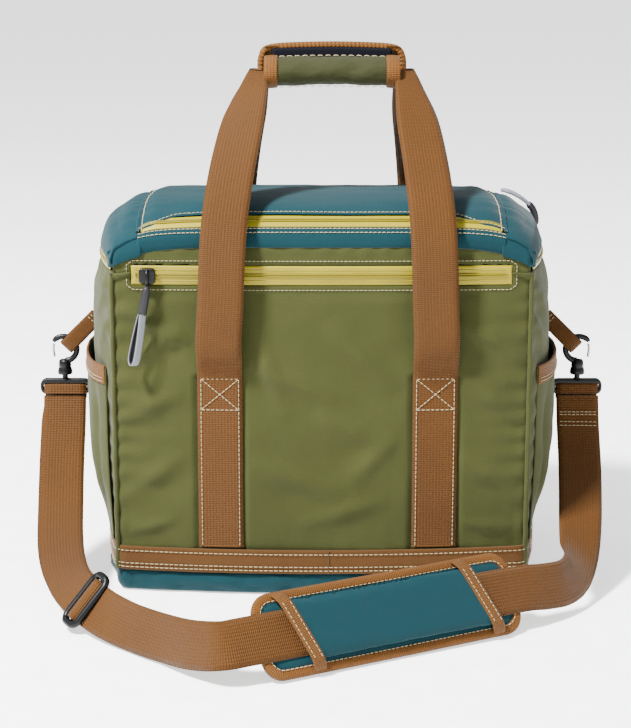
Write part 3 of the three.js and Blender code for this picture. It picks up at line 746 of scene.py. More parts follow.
def on_face(sign, x, z, out=0.4):
    """Just above the wrinkled cloth of the front or back wall."""
    x, z = np.asarray(x, float), np.asarray(z, float)
    seed, top = face_reliefs[sign]
    folds = FRONT_FOLDS if sign < 0 else FRONT_FOLDS[::2]
    return face_point(sign, x, z, facing(sign, x, z, STRAP_CENTRES, seed, folds, top) + out)


# ---- side walls ----
def side_relief(y, z, seed):
    return np.clip(face_relief(y, z, seed, SIDE_FOLDS, HALF_DEPTH - 2, TUB_TOP, SIDE_TOP), -1.0, 4.0)


for side_name, sign, seed in (("left", -1, 12.0), ("right", 1, 15.0)):
    Y, Z = np.meshgrid(np.linspace(-106.6, 106.6, 97), np.linspace(TUB_TOP, SIDE_TOP, 115))
    X = sign * (side_x(Y, Z) + side_relief(Y, Z, seed))
    points = np.stack([X, Y, Z], -1)
    piece = cloth(side_name + "_side_canvas", points if sign > 0 else points[:, ::-1], 2.4, OLIVE)
    soften(piece)
    fit(piece, "root", "olive_canvas", side_name + "_side_panel")

# The four upright seams are rounded ridges where two walls are sewn together.
for x_sign in (-1, 1):
    for y_sign in (-1, 1):
        z = np.linspace(TUB_TOP + 1, 273, 90)
        wobble = 0.5 * np.sin(z / 7.5 + x_sign) + 0.35 * np.sin(z / 3.3 + y_sign)
        ridge = np.stack([x_sign * (HALF_WIDTH + 0.2 + 0.3 * wobble),
                          y_sign * (HALF_DEPTH - 0.4 + 0.3 * wobble), z], -1)
        piece = tube(f"corner_seam_{x_sign + 1}_{y_sign + 1}", ridge, 2.0 + 0.15 * wobble, OLIVE,
                     sides=10)
        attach(piece, "root")


# ---- base shell and trim band ----
def base_plan(grow, count=260):
    """The base's outline, counter-clockwise from above: bowed faces and rounded corners."""
    corner, xs, ys = 10, HALF_WIDTH + grow, HALF_DEPTH + grow
    radius = corner + grow
    pts = []
    t = np.linspace(-1, 1, 60)
    flat_x, flat_y = xs - radius, ys - radius

    def arc(cx, cy, start):
        a = np.radians(np.linspace(start, start + 90, 16))
        return np.stack([cx + radius * np.cos(a), cy + radius * np.sin(a)], -1)

    long_bow, short_bow = FRONT_BOW * (1 - t ** 2), BASE_SIDE_BOW * (1 - t ** 2)
    pts.append(np.stack([t * flat_x, -ys - long_bow], -1))
    pts.append(arc(flat_x, -flat_y, -90))
    pts.append(np.stack([xs + short_bow, t * flat_y], -1))
    pts.append(arc(flat_x, flat_y, 0))
    pts.append(np.stack([-t * flat_x, ys + long_bow], -1))
    pts.append(arc(-flat_x, flat_y, 90))
    pts.append(np.stack([-xs - short_bow, -t * flat_y], -1))
    pts.append(arc(-flat_x, -flat_y, 180))
    return spread_round(np.concatenate(pts), count)


def ring_wall(profile, material, name, relief):
    """A closed wall round the base: profile lists (grow, z) up one side and down the other."""
    count = 420
    rows = []
    for grow, z in profile:
        outline, at = base_plan(grow, count)
        points = np.column_stack([outline, np.full(count, float(z))])
        out = unit(np.column_stack([outline, np.zeros(count)]))
        rows.append(points + out * relief(at, z)[:, None])
    points = np.array(rows)
    faces = grid_faces(len(rows), count, wrap=True) + closing_faces(len(rows), count)
    u = np.broadcast_to(at, (len(rows), count))
    v = np.cumsum([0] + [math.hypot(b[0] - a[0], b[1] - a[1])
                         for a, b in zip(profile, profile[1:])])
    uv = np.stack([u, np.broadcast_to(v[:, None], u.shape)], -1)
    return make(name, points, orient(points, faces), material, uv)


def base_relief(at, z):
    """Low wrinkles in the base fabric, strongest half way up it."""
    k = np.array([[a, z * 2.4, 4.0] for a in at])
    weight = math.sin(math.pi * min(max(z / TUB_TOP, 0), 1))
    slanted = np.array([[a + z * 3.1, z * 1.2, 9.0] for a in at])
    crease = np.maximum(0, np.abs(point_noise(slanted, 19, 8)) - 0.15)
    return weight * (3.8 * point_noise(k, 30, 5) + 1.6 * point_noise(k, 11, 6) - 3.2 * crease + 1.6)


profile = [(-9, 0.2), (-4, 0.0), (-1.2, 0.9), (0.3, 3.0), (1.0, 6.0), (1.2, 9.5), (1.0, 13.0),
           (0.6, 16.5),
           (0.4, 19.2), (-1.6, 19.2), (-2.2, 16.0), (-2.4, 9.0), (-3.2, 4.0), (-9, 2.6)]
piece = ring_wall(profile, TEAL, "base_shell_wall", base_relief)
fit(piece, "root", "teal_canvas")
outline, at = base_plan(-8.5, 200)
top_ring = np.column_stack([outline, np.full(200, 2.4)])
low_ring = np.column_stack([outline, np.full(200, 0.4)])
faces = grid_faces(2, 200, wrap=True) + end_caps(2, 200)
floor_points = np.concatenate([low_ring, top_ring])
piece = make("base_shell_floor", floor_points, orient(floor_points, faces), TEAL, floor_points[:, :2])
fit(piece, "root", "teal_canvas", "base_tub")


def band_relief(at, z):
    k = np.array([[a, z * 1.5, 9.0] for a in at])
    return 0.35 * point_noise(k, 20, 7) + 0.2 * (puckers(at, 15, 2.0) - 0.5)


profile = [(2.2, 19.3), (3.4, 19.4), (3.9, 20.4), (3.7, 22.3), (4.1, 25), (4.3, 29), (4.2, 33),
           (3.8, 36.4),
           (4.1, 38.6), (3.6, 39.9), (2.5, 40.2), (2.0, 38), (2.0, 30), (2.0, 22)]
piece = ring_wall(profile, BAND, "trim_band_cloth", band_relief)
fit(piece, "root", "binding", "trim_band")
outline, at = base_plan(4.6, 700)
out = unit(np.column_stack([outline, np.zeros(700)]))
for z in (22.4, 25.6, 36.6):
    thread.sew("band_stitches", np.column_stack([outline, np.full(700, z)]), out, 4.2, 3.0, 0.42,
               close=True)
seam_z = np.linspace(19.6, 39.8, 12)
seam = np.stack([np.full(12, 6.0), np.full(12, -124.3), seam_z], -1)
piece = tube("band_join", seam, 0.6, BAND, sides=8)
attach(piece, "root")

# ---- front pocket zip ----
GROUP_BODY = {"band_stitches": "root", "front_stitches": "root", "lid_stitches": "lid",
              "front_grip_stitches": "front_handle", "back_grip_stitches": "back_handle",
              "pocket_stitches": "root", "strap_stitches": "root", "strap_edge_stitches": "root",
              "facing_stitches": "root", "pad_stitches": "pad"}


def front_strip(name, x0, x1, z0, z1, out, thickness, material, columns, rows, ripple=0.0):
    X, Z = np.meshgrid(np.linspace(x0, x1, columns), np.linspace(z0, z1, rows))
    lift = ripple * point_noise(np.stack([X, Z * 3, X * 0], -1), 22, 4.0)
    piece = cloth(name, face_point(-1, X, Z, out + lift), thickness, material)
    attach(piece, "root")
    return piece


tape = front_strip("front_zip_cloth", -ZIP_HALF + 0.3, ZIP_HALF - 0.3, ZIP_Z - 7.8, ZIP_Z + 7.8, 0.6,
                   1.4, YELLOW,
                   160, 9, 0.25)
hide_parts("front_zip_tape")
lining = front_strip("front_pocket_bag", -150, 150, 66, 262, -3.0, 0.8, DARK, 40, 24)
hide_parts("front_pocket_lining")
x = np.linspace(-ZIP_HALF + 4, ZIP_HALF - 4, 160)
for dz in (-0.9, 0.9):
    piece = tube(f"front_zip_coil_{'low' if dz < 0 else 'high'}", face_point(-1, x, ZIP_Z + dz, 0.95),
                 0.85, COIL, sides=8)
    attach(piece, "root")
for dz in (-4.4, 4.4):
    piece = tube(f"front_zip_edge_{'low' if dz < 0 else 'high'}", face_point(-1, x, ZIP_Z + dz, 0.7),
                 0.45, YELLOW, sides=6)
    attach(piece, "root")
# Two rows of small stitches frame the zip.
frame_line = [(-ZIP_HALF - 3.4, ZIP_Z), (-ZIP_HALF - 3.4, ZIP_Z + 8.5), (-ZIP_HALF + 2, ZIP_Z + 12),
              (ZIP_HALF - 2, ZIP_Z + 12), (ZIP_HALF + 3.4, ZIP_Z + 8.5), (ZIP_HALF + 3.4, ZIP_Z - 8.5),
              (ZIP_HALF - 2, ZIP_Z - 12), (-ZIP_HALF + 2, ZIP_Z - 12), (-ZIP_HALF - 3.4, ZIP_Z - 8.5),
              (-ZIP_HALF - 3.4, ZIP_Z)]
dense = []
for (xa, za), (xb, zb) in zip(frame_line, frame_line[1:]):
    n = max(3, int(math.hypot(xb - xa, zb - za) / 3))
    dense += [(mix(xa, xb, i / n), mix(za, zb, i / n)) for i in range(n)]
dense = np.array(dense)
thread.sew("front_stitches", on_face(-1, dense[:, 0], dense[:, 1]), (0, -1, 0), 3.4, 2.4, 0.34)

# ---- carry handle straps ----
def leg_path(hand, sign):
    """The whole strap: sewn up the wall, then free, gathering into the grip."""
    x0 = hand * STRAP_X + HANDLE_SHIFT
    xg = GRIP_SHIFT + hand * 62
    root = float(front_y(x0, STRAP_SEWN_TOP)) + 2.7
    points = [(x0, sign * (float(front_y(x0, z)) + 1.6), z, 38) for z in (42, 80, 120, 160, 182)]
    free = [(0, root + 2, 194, 38), (0, root + 8, 206, 38), (0, root + 12, 222, 38),
            (.06, root + 13.5, 250, 38),
            (.12, root + 11, 292, 38), (.2, root - 1, 324, 38), (.36, root - 30, 358, 38),
            (.6, root - 66, 392, 36), (.85, 24, 416, 25), (.97, 12, 430, 16)]
    points += [(mix(x0, xg, lean), sign * y, z, w) for lean, y, z, w in free]
    return spline(points, 190)


def wall_slope(x):
    """How fast the wall falls back across a strap sewn to it."""
    half = WEB_WIDTH / 2
    return float(front_y(x + half, 120) - front_y(x - half, 120)) / WEB_WIDTH


for end, sign in (("front", -1), ("back", 1)):
    for hand, hand_name in ((-1, "left"), (1, "right")):
        x0 = hand * STRAP_X + HANDLE_SHIFT
        path = leg_path(hand, sign)
        centre, width = path[:, :3], path[:, 3]
        tilt = smoothstep(centre[:, 2], 330, 420)
        lean_side = np.column_stack([np.ones(190), 0.10 * hand * tilt * sign, -0.32 * hand * tilt])
        twist = 0.03 * np.sin(centre[:, 2] / 55 + hand)
        lean_side[:, 1] += twist * smoothstep(centre[:, 2], 200, 240)
        sewn = smoothstep(-centre[:, 2], -260, -190)
        lean_side[:, 1] += sign * wall_slope(x0) * sewn
        piece = ribbon(f"{end}_{hand_name}_strap", centre, -sign * lean_side, width, WEB, WEBBING,
                       columns=9)
        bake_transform(piece)
        if hand < 0:
            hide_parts(end + "_left_strap_sewn", end + "_right_strap_sewn",
                        end + "_handle_webbing")

        def on_strap(across, z):
            across, z = np.broadcast_arrays(across, z)
            out = front_y(x0, z) + 2.75 + wall_slope(x0) * across
            return np.stack([x0 + across, sign * out, z], -1)

        z = np.linspace(43, STRAP_SEWN_TOP - 2, 60)
        for edge in (-EDGE_STITCH_X, EDGE_STITCH_X):
            thread.sew("strap_edge_stitches", on_strap(edge, z), (0, sign, 0), 3.8, 2.9, 0.42)
        low, high = STRAP_SEWN_TOP - X_BOX, STRAP_SEWN_TOP - 2
        t = np.linspace(0, 1, 12)
        for za, zb in ((low, high), (high, low), (low, low), (high, high)):
            row = on_strap(mix(-EDGE_STITCH_X, EDGE_STITCH_X, t), mix(za, zb, t))
            thread.sew("strap_edge_stitches", row, (0, sign, 0), 3.6, 2.8, 0.45)

# ---- grip: two half wraps of canvas over the gathered webbing ----
# The middle height and half height of each wrap: the front one sits lower than the back one.
GRIP_HALVES = {-1: (430.0, 12.2), 1: (434.5, 15.6)}


def grip_point(sign, x, angle, grow=0.0):
    """Round the half ellipse of a grip half: angle 0 is its top, 180 its underside."""
    a = np.radians(angle)
    mid_z, tall = GRIP_HALVES[sign]
    sag = 1.6 * ((x - GRIP_SHIFT) / GRIP_HALF) ** 2
    deep = 3.4 + (16.8 + grow) * np.sin(a)
    return np.stack([x + 0 * a, sign * deep, mid_z + (tall + grow) * np.cos(a) - sag], -1)


for end, sign in (("front", -1), ("back", 1)):
    body = end + "_handle"
    X, A = np.meshgrid(np.linspace(GRIP_SHIFT - 53, GRIP_SHIFT + 53, 90), np.linspace(4, 176, 40))
    points = grip_point(sign, X, A)
    normal = grid_normals(points)
    sample = np.stack([X, A * 0.35, X * 0 + 5 * sign], -1)
    dent = 1.0 * point_noise(sample, 17, 3.0 + sign) + 0.35 * point_noise(sample, 6, 9.0)
    dent -= 1.7 * (bump(X, GRIP_SHIFT - 18, 9) + bump(X, GRIP_SHIFT + 21, 8)) * bump(A, 78, 26)
    if (normal[:, :, 1].mean() * sign) < 0:
        points = points[:, ::-1]
        dent = dent[:, ::-1]
        normal = grid_normals(points)
    points = points + normal * np.clip(dent, -2.2, 1.2)[..., None]
    piece = cloth(end + "_grip_wrap", points, 1.6, OLIVE_GRIP)
    soften(piece)
    fit(piece, body, "olive_canvas", end + "_grip_cover")
    # The inner face is a strip of hook-and-loop, with the wrap's edges turned in round it.
    mid_z, tall = GRIP_HALVES[sign]
    Xi, Zi = np.meshgrid(np.linspace(GRIP_SHIFT - 51, GRIP_SHIFT + 51, 40),
                         np.linspace(mid_z - tall + 1, mid_z + tall - 1, 12))
    inner = np.stack([Xi, Xi * 0 + sign * 2.6, Zi - 1.6 * ((Xi - GRIP_SHIFT) / GRIP_HALF) ** 2], -1)
    if sign > 0:
        inner = inner[:, ::-1]
    piece = cloth(end + "_grip_lining", inner, 1.6, CLOSURE, inward=np.array([0, sign * 1.6, 0]))
    fit(piece, body, "closure", end + "_grip_closure")
    for at, hand_name in ((GRIP_SHIFT - 52, "left"), (GRIP_SHIFT + 52, "right")):
        Xb, Ab = np.meshgrid(np.linspace(at - 6, at + 6, 9), np.linspace(-4, 184, 40))
        swell = 1.4 + 0.5 * (1 - ((Xb - at) / 6) ** 2)
        band = grip_point(sign, Xb, Ab, swell)
        band[..., 1] = sign * np.maximum(sign * band[..., 1], 2.0)
        if grid_normals(band)[:, :, 1].mean() * sign < 0:
            band = band[:, ::-1]
        piece = cloth(f"{end}_grip_binding_{hand_name}", band, 1.3, TAPE)
        soften(piece)
        fit(piece, body, "binding")
    row_x = np.linspace(GRIP_SHIFT - 46, GRIP_SHIFT + 46, 40)
    for a in (14, 166):
        rows = grip_point(sign, row_x, np.full(40, float(a)), 1.0)
        out = unit(rows - np.stack([row_x, np.full(40, sign * 3.4), np.full(40, mid_z)], -1))
        thread.sew(end + "_grip_stitches", rows, out, 6.2, 4.4, 0.5)

edge = [(GRIP_SHIFT + x, 6.5, z) for x, z in ((-61, 430), (-60, 441), (-53, 448.4), (-20, 450.6),
                                              (20, 450.6), (53, 448.4),
                                              (60, 441), (61, 430))]
piece = tube("back_grip_edge", spline(edge, 70), 3.1, TAPE, sides=12)
fit(piece, "back_handle", "binding")

# ---- lid ----
def lid_half_x(y):
    return 174 + 15 * (1 - (y / LID_HALF_Y) ** 2)


def lid_z(x, y):
    """The domed lid's height."""
    out = np.abs(x) / (lid_half_x(y) + 2)
    across = np.sqrt(np.maximum(0, 1 - out ** 6))
    deep = np.maximum(0, 1 - (y / 116) ** 4) ** 0.7
    rise = LID_RISE - 0.06 * (y + 50)
    return LID_Z + rise * deep * across - 14 * out ** 10


def lid_relief(x, y, seed=21.0):
    points = np.stack([x, y, x * 0], -1)
    drift = (1.4 * point_noise(points, 70, seed) + 0.6 * point_noise(points, 24, seed + 1)
             + 0.1 * point_noise(points, 8, seed))
    from_seam = np.abs(np.abs(x) - LID_SEAM_X)
    pinch = -1.6 * np.exp(-(from_seam / 5) ** 2) + 1.1 * np.exp(-((from_seam - 13) / 8) ** 2)
    gather = np.exp(-from_seam / 12) * (puckers(y, 18, seed) - 0.5) * 1.3
    folds = sum(h * fold_line(x, y, a, b, c, d, w) for a, b, c, d, w, h in (
        (-130, -70, -70, -96, 9, 1.4), (-40, -96, 40, -84, 10, 1.2), (60, -88, 138, -60, 9, 1.4),
        (-140, 10, -60, -30, 11, 1.3), (20, 10, 120, -18, 12, 1.3)))
    fade = smoothstep(LID_HALF_Y - np.abs(y), 4, 30)
    return np.clip((drift + folds) * fade + (pinch + gather)
                   * smoothstep(LID_HALF_Y - np.abs(y), 0, 14), -2.4, 2.6)


def lid_point(x, y, out=0.0):
    x, y = np.broadcast_arrays(np.asarray(x, float), np.asarray(y, float))
    return np.stack([x, y, lid_z(x, y) + lid_relief(x, y) + out], -1)


def lid_piece(name, points, thickness, material, slot, replaced=()):
    if grid_normals(points)[:, :, 2].mean() < 0:
        points = points[:, ::-1]
    piece = cloth(name, points, thickness, material)
    soften(piece)
    fit(piece, "lid", slot)
    if replaced:
        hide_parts(*replaced)
    return piece


X, T = np.meshgrid(np.linspace(-LID_SEAM_X, LID_SEAM_X, 151), np.linspace(0, 1, 90))
# Near both ends the canvas comes forward over the zip, so the yellow runs out to a point.
front_edge = -98 - 8.6 * smoothstep(X, 104, 136) - 8.6 * smoothstep(-X, 116, 142)
Y = mix(front_edge, 112.6, T)
top = lid_point(X, Y, 0.3)
lid_piece("lid_top_canvas", top, 2.2, TEAL, "teal_canvas", ("lid_cover",))
X, Y = np.meshgrid(np.linspace(-147, 147, 160), np.linspace(-103.4, -98.6, 6))
lid_piece("lid_front_tape", lid_point(X, Y, -0.6), 1.0, YELLOW, "zip_yellow", ("lid_zip_lid_tape",))
X, Y = np.meshgrid(np.linspace(-147, 147, 160), np.linspace(-108.4, -103.8, 6))
piece = cloth("body_front_tape", lid_point(X, Y, -0.6), 1.0, YELLOW)
fit(piece, "root", "zip_yellow", "lid_zip_body_tape")
x = np.linspace(-147, 147, 200)
coil = tube("lid_front_coil", lid_point(x, x * 0 - 103.0, 0.1), 0.8, COIL, sides=8)
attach(coil, "lid")
coil = tube("body_front_coil", lid_point(x, x * 0 - 104.3, 0.0), 0.8, COIL, sides=8)
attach(coil, "root")
# The facing strip turns over the front wall's top edge and is stitched twice along it.
u = np.linspace(-LID_SEAM_X, LID_SEAM_X, 160)
facing_rows = []
for y, dz in ((-108.8, -0.1), (-110.0, 0.1), (-111.4, -0.2), (-112.6, -1.4), (-113.2, -3.2)):
    facing_rows.append(lid_point(u, u * 0 + y, dz))
low = np.stack([u, -(front_y(u, 296) + 0.9), wall_top(u, WALL_TOP) - 3.5], -1)
facing_rows[-1][:, 1] = np.minimum(facing_rows[-1][:, 1], low[:, 1] + 0.6)
facing_rows.append(low)
facing_rows = np.array(facing_rows[::-1])
if grid_normals(facing_rows)[:, :, 2].mean() < 0:
    facing_rows = facing_rows[:, ::-1]
piece = cloth("lid_facing_cloth", facing_rows, 1.8, TEAL)
soften(piece)
fit(piece, "root", "teal_canvas", "lid_facing_strip")
for y, out in ((-110.3, 0.5), (-112.3, 0.2)):
    thread.sew("facing_stitches", lid_point(u, u * 0 + y, out), (0, -0.6, 0.8), 3.6, 2.7, 0.42)
edge_y = -96.2 - 8.6 * smoothstep(u, 104, 136) - 8.6 * smoothstep(-u, 116, 142)
thread.sew("lid_stitches", lid_point(u, edge_y, 0.6), (0, -0.3, 0.95), 3.6, 2.7, 0.42)
thread.sew("lid_stitches", lid_point(u, u * 0 + 109.5, 0.3), (0, 0.3, 0.95), 3.8, 2.8, 0.42)

for side_name, sign in (("left", -1), ("right", 1)):
    s = np.linspace(0, 1, 34)
    y = np.linspace(-112, 112.4, 84)
    S, Y = np.meshgrid(s, y)
    end_x = lid_half_x(Y) - 1.2
    low_z = SIDE_TOP + 10.5
    reach = end_x - LID_SEAM_X
    X = LID_SEAM_X + reach * np.minimum(1, 1.18 * S) ** 0.9
    X = np.minimum(X, end_x)
    base = lid_z(X, Y) + lid_relief(sign * X, Y)
    turn = smoothstep(S, 0.62, 1.0)
    corner = smoothstep(np.abs(Y), 84, 112)
    bottom = mix(low_z, 279.5, corner)
    Z = mix(base, bottom, turn ** 1.25)
    bulge = 2.4 * np.sin(np.pi * np.clip((S - 0.5) / 0.5, 0, 1)) * (1 - 0.6 * corner)
    X = X + bulge
    points = np.stack([sign * X, Y, Z], -1)
    points[:, :, 1] *= 1 + 0.006 * turn
    normal = grid_normals(points)
    if (normal[:, :, 2].mean()) < 0:
        points = points[:, ::-1]
        normal = grid_normals(points)
    folds = 0.9 * point_noise(points, 20, 31 + sign) + 0.35 * point_noise(points, 8, 34)
    quiet = smoothstep(np.minimum(np.abs(points[:, :, 0]) - LID_SEAM_X, 8), 0, 6)
    points = points + normal * (folds * quiet)[..., None]
    lid_piece(f"lid_{side_name}_end_canvas", points, 2.0, TEAL, "teal_canvas",
              (f"lid_{side_name}_end",))
    y = np.linspace(-108, 110, 60)
    seam = lid_point(np.full(60, sign * LID_SEAM_X), y, 0.0)
    ridge = tube(f"lid_{side_name}_seam", seam, 1.5, TEAL, sides=10)
    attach(ridge, "lid")
    beside = lid_point(np.full(60, sign * (LID_SEAM_X - 3.4)), y, 0.4)
    thread.sew("lid_stitches", beside, (0, 0, 1), 3.8, 2.9, 0.5)
    Y2, Z2 = np.meshgrid(np.linspace(-99.5, 99.5, 90), np.linspace(SIDE_TOP + 0.6, SIDE_TOP + 10.2, 7))
    ripple = 0.25 * point_noise(np.stack([Y2, Z2, Y2 * 0], -1), 20, 5)
    tape_points = np.stack([sign * (side_x(Y2, SIDE_TOP) - 1 + ripple), Y2, Z2], -1)
    piece = cloth(f"lid_{side_name}_side_tape", tape_points if sign > 0 else tape_points[:, ::-1], 1.0,
                  YELLOW)
    fit(piece, "root", "zip_yellow", f"lid_zip_{side_name}_tape")
    yy = np.linspace(-99.5, 99.5, 90)
    for dz in (4.6, 6.2):
        coil = tube(f"side_coil_{side_name}_{int(dz)}",
                    np.stack([sign * (side_x(yy, SIDE_TOP) - 0.6), yy, yy * 0 + SIDE_TOP + dz], -1), 0.75,
                    COIL, sides=8)
        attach(coil, "root")

# ---- the inside: padding, liner and the lid's lining ----
def cavity_plan(inset, count=160):
    """A rounded rectangle inside the padding."""
    half_x, half_y, r = 148 - inset, 88.5 - inset, 16
    pts = []
    for cx, cy, start in ((1, -1, -90), (1, 1, 0), (-1, 1, 90), (-1, -1, 180)):
        a = np.radians(np.linspace(start, start + 90, 14))
        pts.append(np.stack([cx * (half_x - r) + r * np.cos(a), cy * (half_y - r) + r * np.sin(a)], -1))
    return spread_round(np.concatenate(pts), count)[0]


rows = []
for inset, z in ((-19, 284), (-16, 288.5), (-10, 291), (-4, 291), (-0.6, 288), (0, 282), (0.4, 240),
                 (0.6, 160), (0.8, 80),
                 (1.4, 34), (5, 28.6), (12, 27.0), (30, 26.6), (60, 26.4), (80, 26.4)):
    plan = cavity_plan(0) * np.array([(148 - inset) / 148, (88.5 - inset) / 88.5])
    ring = np.column_stack([plan, np.full(160, float(z))])
    out = unit(np.column_stack([plan, np.zeros(160)]))
    relief = 1.1 * point_noise(ring, 38, 40) + 0.5 * point_noise(ring, 15, 41)
    ring = ring - out * (np.clip(relief, -0.6, 2) * (0 if z > 284 else 1))[:, None]
    rows.append(ring)
wall = np.array(rows)
wall = np.concatenate([wall, wall[:, :1]], axis=1)
if grid_normals(wall)[5:9].reshape(-1, 3)[0] @ wall[6, 0] > 0:
    wall = wall[:, ::-1]
piece = cloth("cavity_lining", wall, 1.4, LINER)
soften(piece)
fit(piece, "root", "liner", "liner_tub", "left_foam", "right_foam", "front_foam", "back_foam")

X, Y = np.meshgrid(np.linspace(-146, 146, 70), np.linspace(-84, 92, 50))
edge = np.minimum(146 - np.abs(X), np.minimum(Y + 84, 92 - Y))
Z = 297.5 + 4.5 * smoothstep(edge, 0, 26) + 0.8 * point_noise(np.stack([X, Y, X * 0], -1), 30, 44)
Z = Z - 2.0 * np.exp(-((edge - 30) / 4) ** 2)
under = np.stack([X, Y, Z], -1)[:, ::-1]
piece = cloth("lid_lining", under, 4.0, LINER, inward=np.array([0, 0, 4.0]))
soften(piece)
fit(piece, "lid", "liner", "lid_foam", "lid_liner")

# ---- side pockets ----
def pocket_x(y, z):
    """The pocket stands off its wall, most of all half way along."""
    room = POCKET_ROOM * (1 - (np.abs(y) / POCKET_HALF) ** 8) * smoothstep(z, 40, 90)
    return side_x(y, z) + 2.8 + room


for side_name, sign in (("left", -1), ("right", 1)):
    seed = 51.0 + sign
    y = np.linspace(-POCKET_HALF, POCKET_HALF, 96)
    z = np.linspace(40.6, POCKET_TOP - 0.6, 76)
    Y, Z = np.meshgrid(y, z)
    stand = pocket_x(Y, Z)
    sample = np.stack([Y, Z, Y * 0], -1)
    relief = 1.5 * point_noise(sample, 46, seed) + 0.7 * point_noise(sample, 17, seed + 1)
    # A slack pleat runs down beside the front edge, where the pocket's fullness is gathered.
    pleat = bump(Y, -78, 4.5) * smoothstep(Z, 44, 80) * smoothstep(POCKET_TOP - Z, 8, 46)
    relief = relief * smoothstep(POCKET_HALF - np.abs(Y), 0, 12) - 3.2 * pleat
    relief += 1.2 * (bump(Y, -66, 6) + 0.6 * bump(Y, 60, 9)) * smoothstep(Z, 44, 90)
    relief += np.exp(-(Z - 40) / 12) * (puckers(Y, 16, seed) - 0.5) * 1.6
    hem = smoothstep(Z, POCKET_TOP - POCKET_BINDING - 3, POCKET_TOP - POCKET_BINDING)
    relief = np.clip(relief, -4.0, 3.0) * (1 - hem)
    points = np.stack([sign * (stand + relief), Y, Z], -1)
    if sign < 0:
        points = points[:, ::-1]
    piece = cloth(side_name + "_pocket_cloth", points, 1.5, OLIVE)
    soften(piece)
    fit(piece, "root", "olive_canvas", side_name + "_pocket")

    def hem_face(y, z, out):
        ripple = 0.5 * np.sin(y / 17 + seed) + 0.3 * np.sin(y / 6.3)
        return np.stack([sign * (pocket_x(y, z) + out + 0.3 * ripple), y, z + 0 * y], -1)

    Y, T = np.meshgrid(y, np.linspace(0, 1, 14))
    turn = np.clip((T - 0.86) / 0.14, 0, 1)
    band = hem_face(Y, mix(POCKET_TOP - POCKET_BINDING, POCKET_TOP + 0.6, np.minimum(T / 0.9, 1)),
                    1.3 - 2.2 * turn ** 2)
    if sign < 0:
        band = band[:, ::-1]
    piece = cloth(side_name + "_pocket_hem", band, 1.2, TAPE)
    soften(piece)
    fit(piece, "root", "binding", side_name + "_pocket_binding")
    yy = np.linspace(-POCKET_HALF + 2, POCKET_HALF - 2, 90)
    for up in (2.6, 5.4):
        thread.sew("pocket_stitches", hem_face(yy, yy * 0 + POCKET_TOP - POCKET_BINDING + up, 1.7),
                   (sign, 0, 0),
                   4.0, 3.0, 0.42)

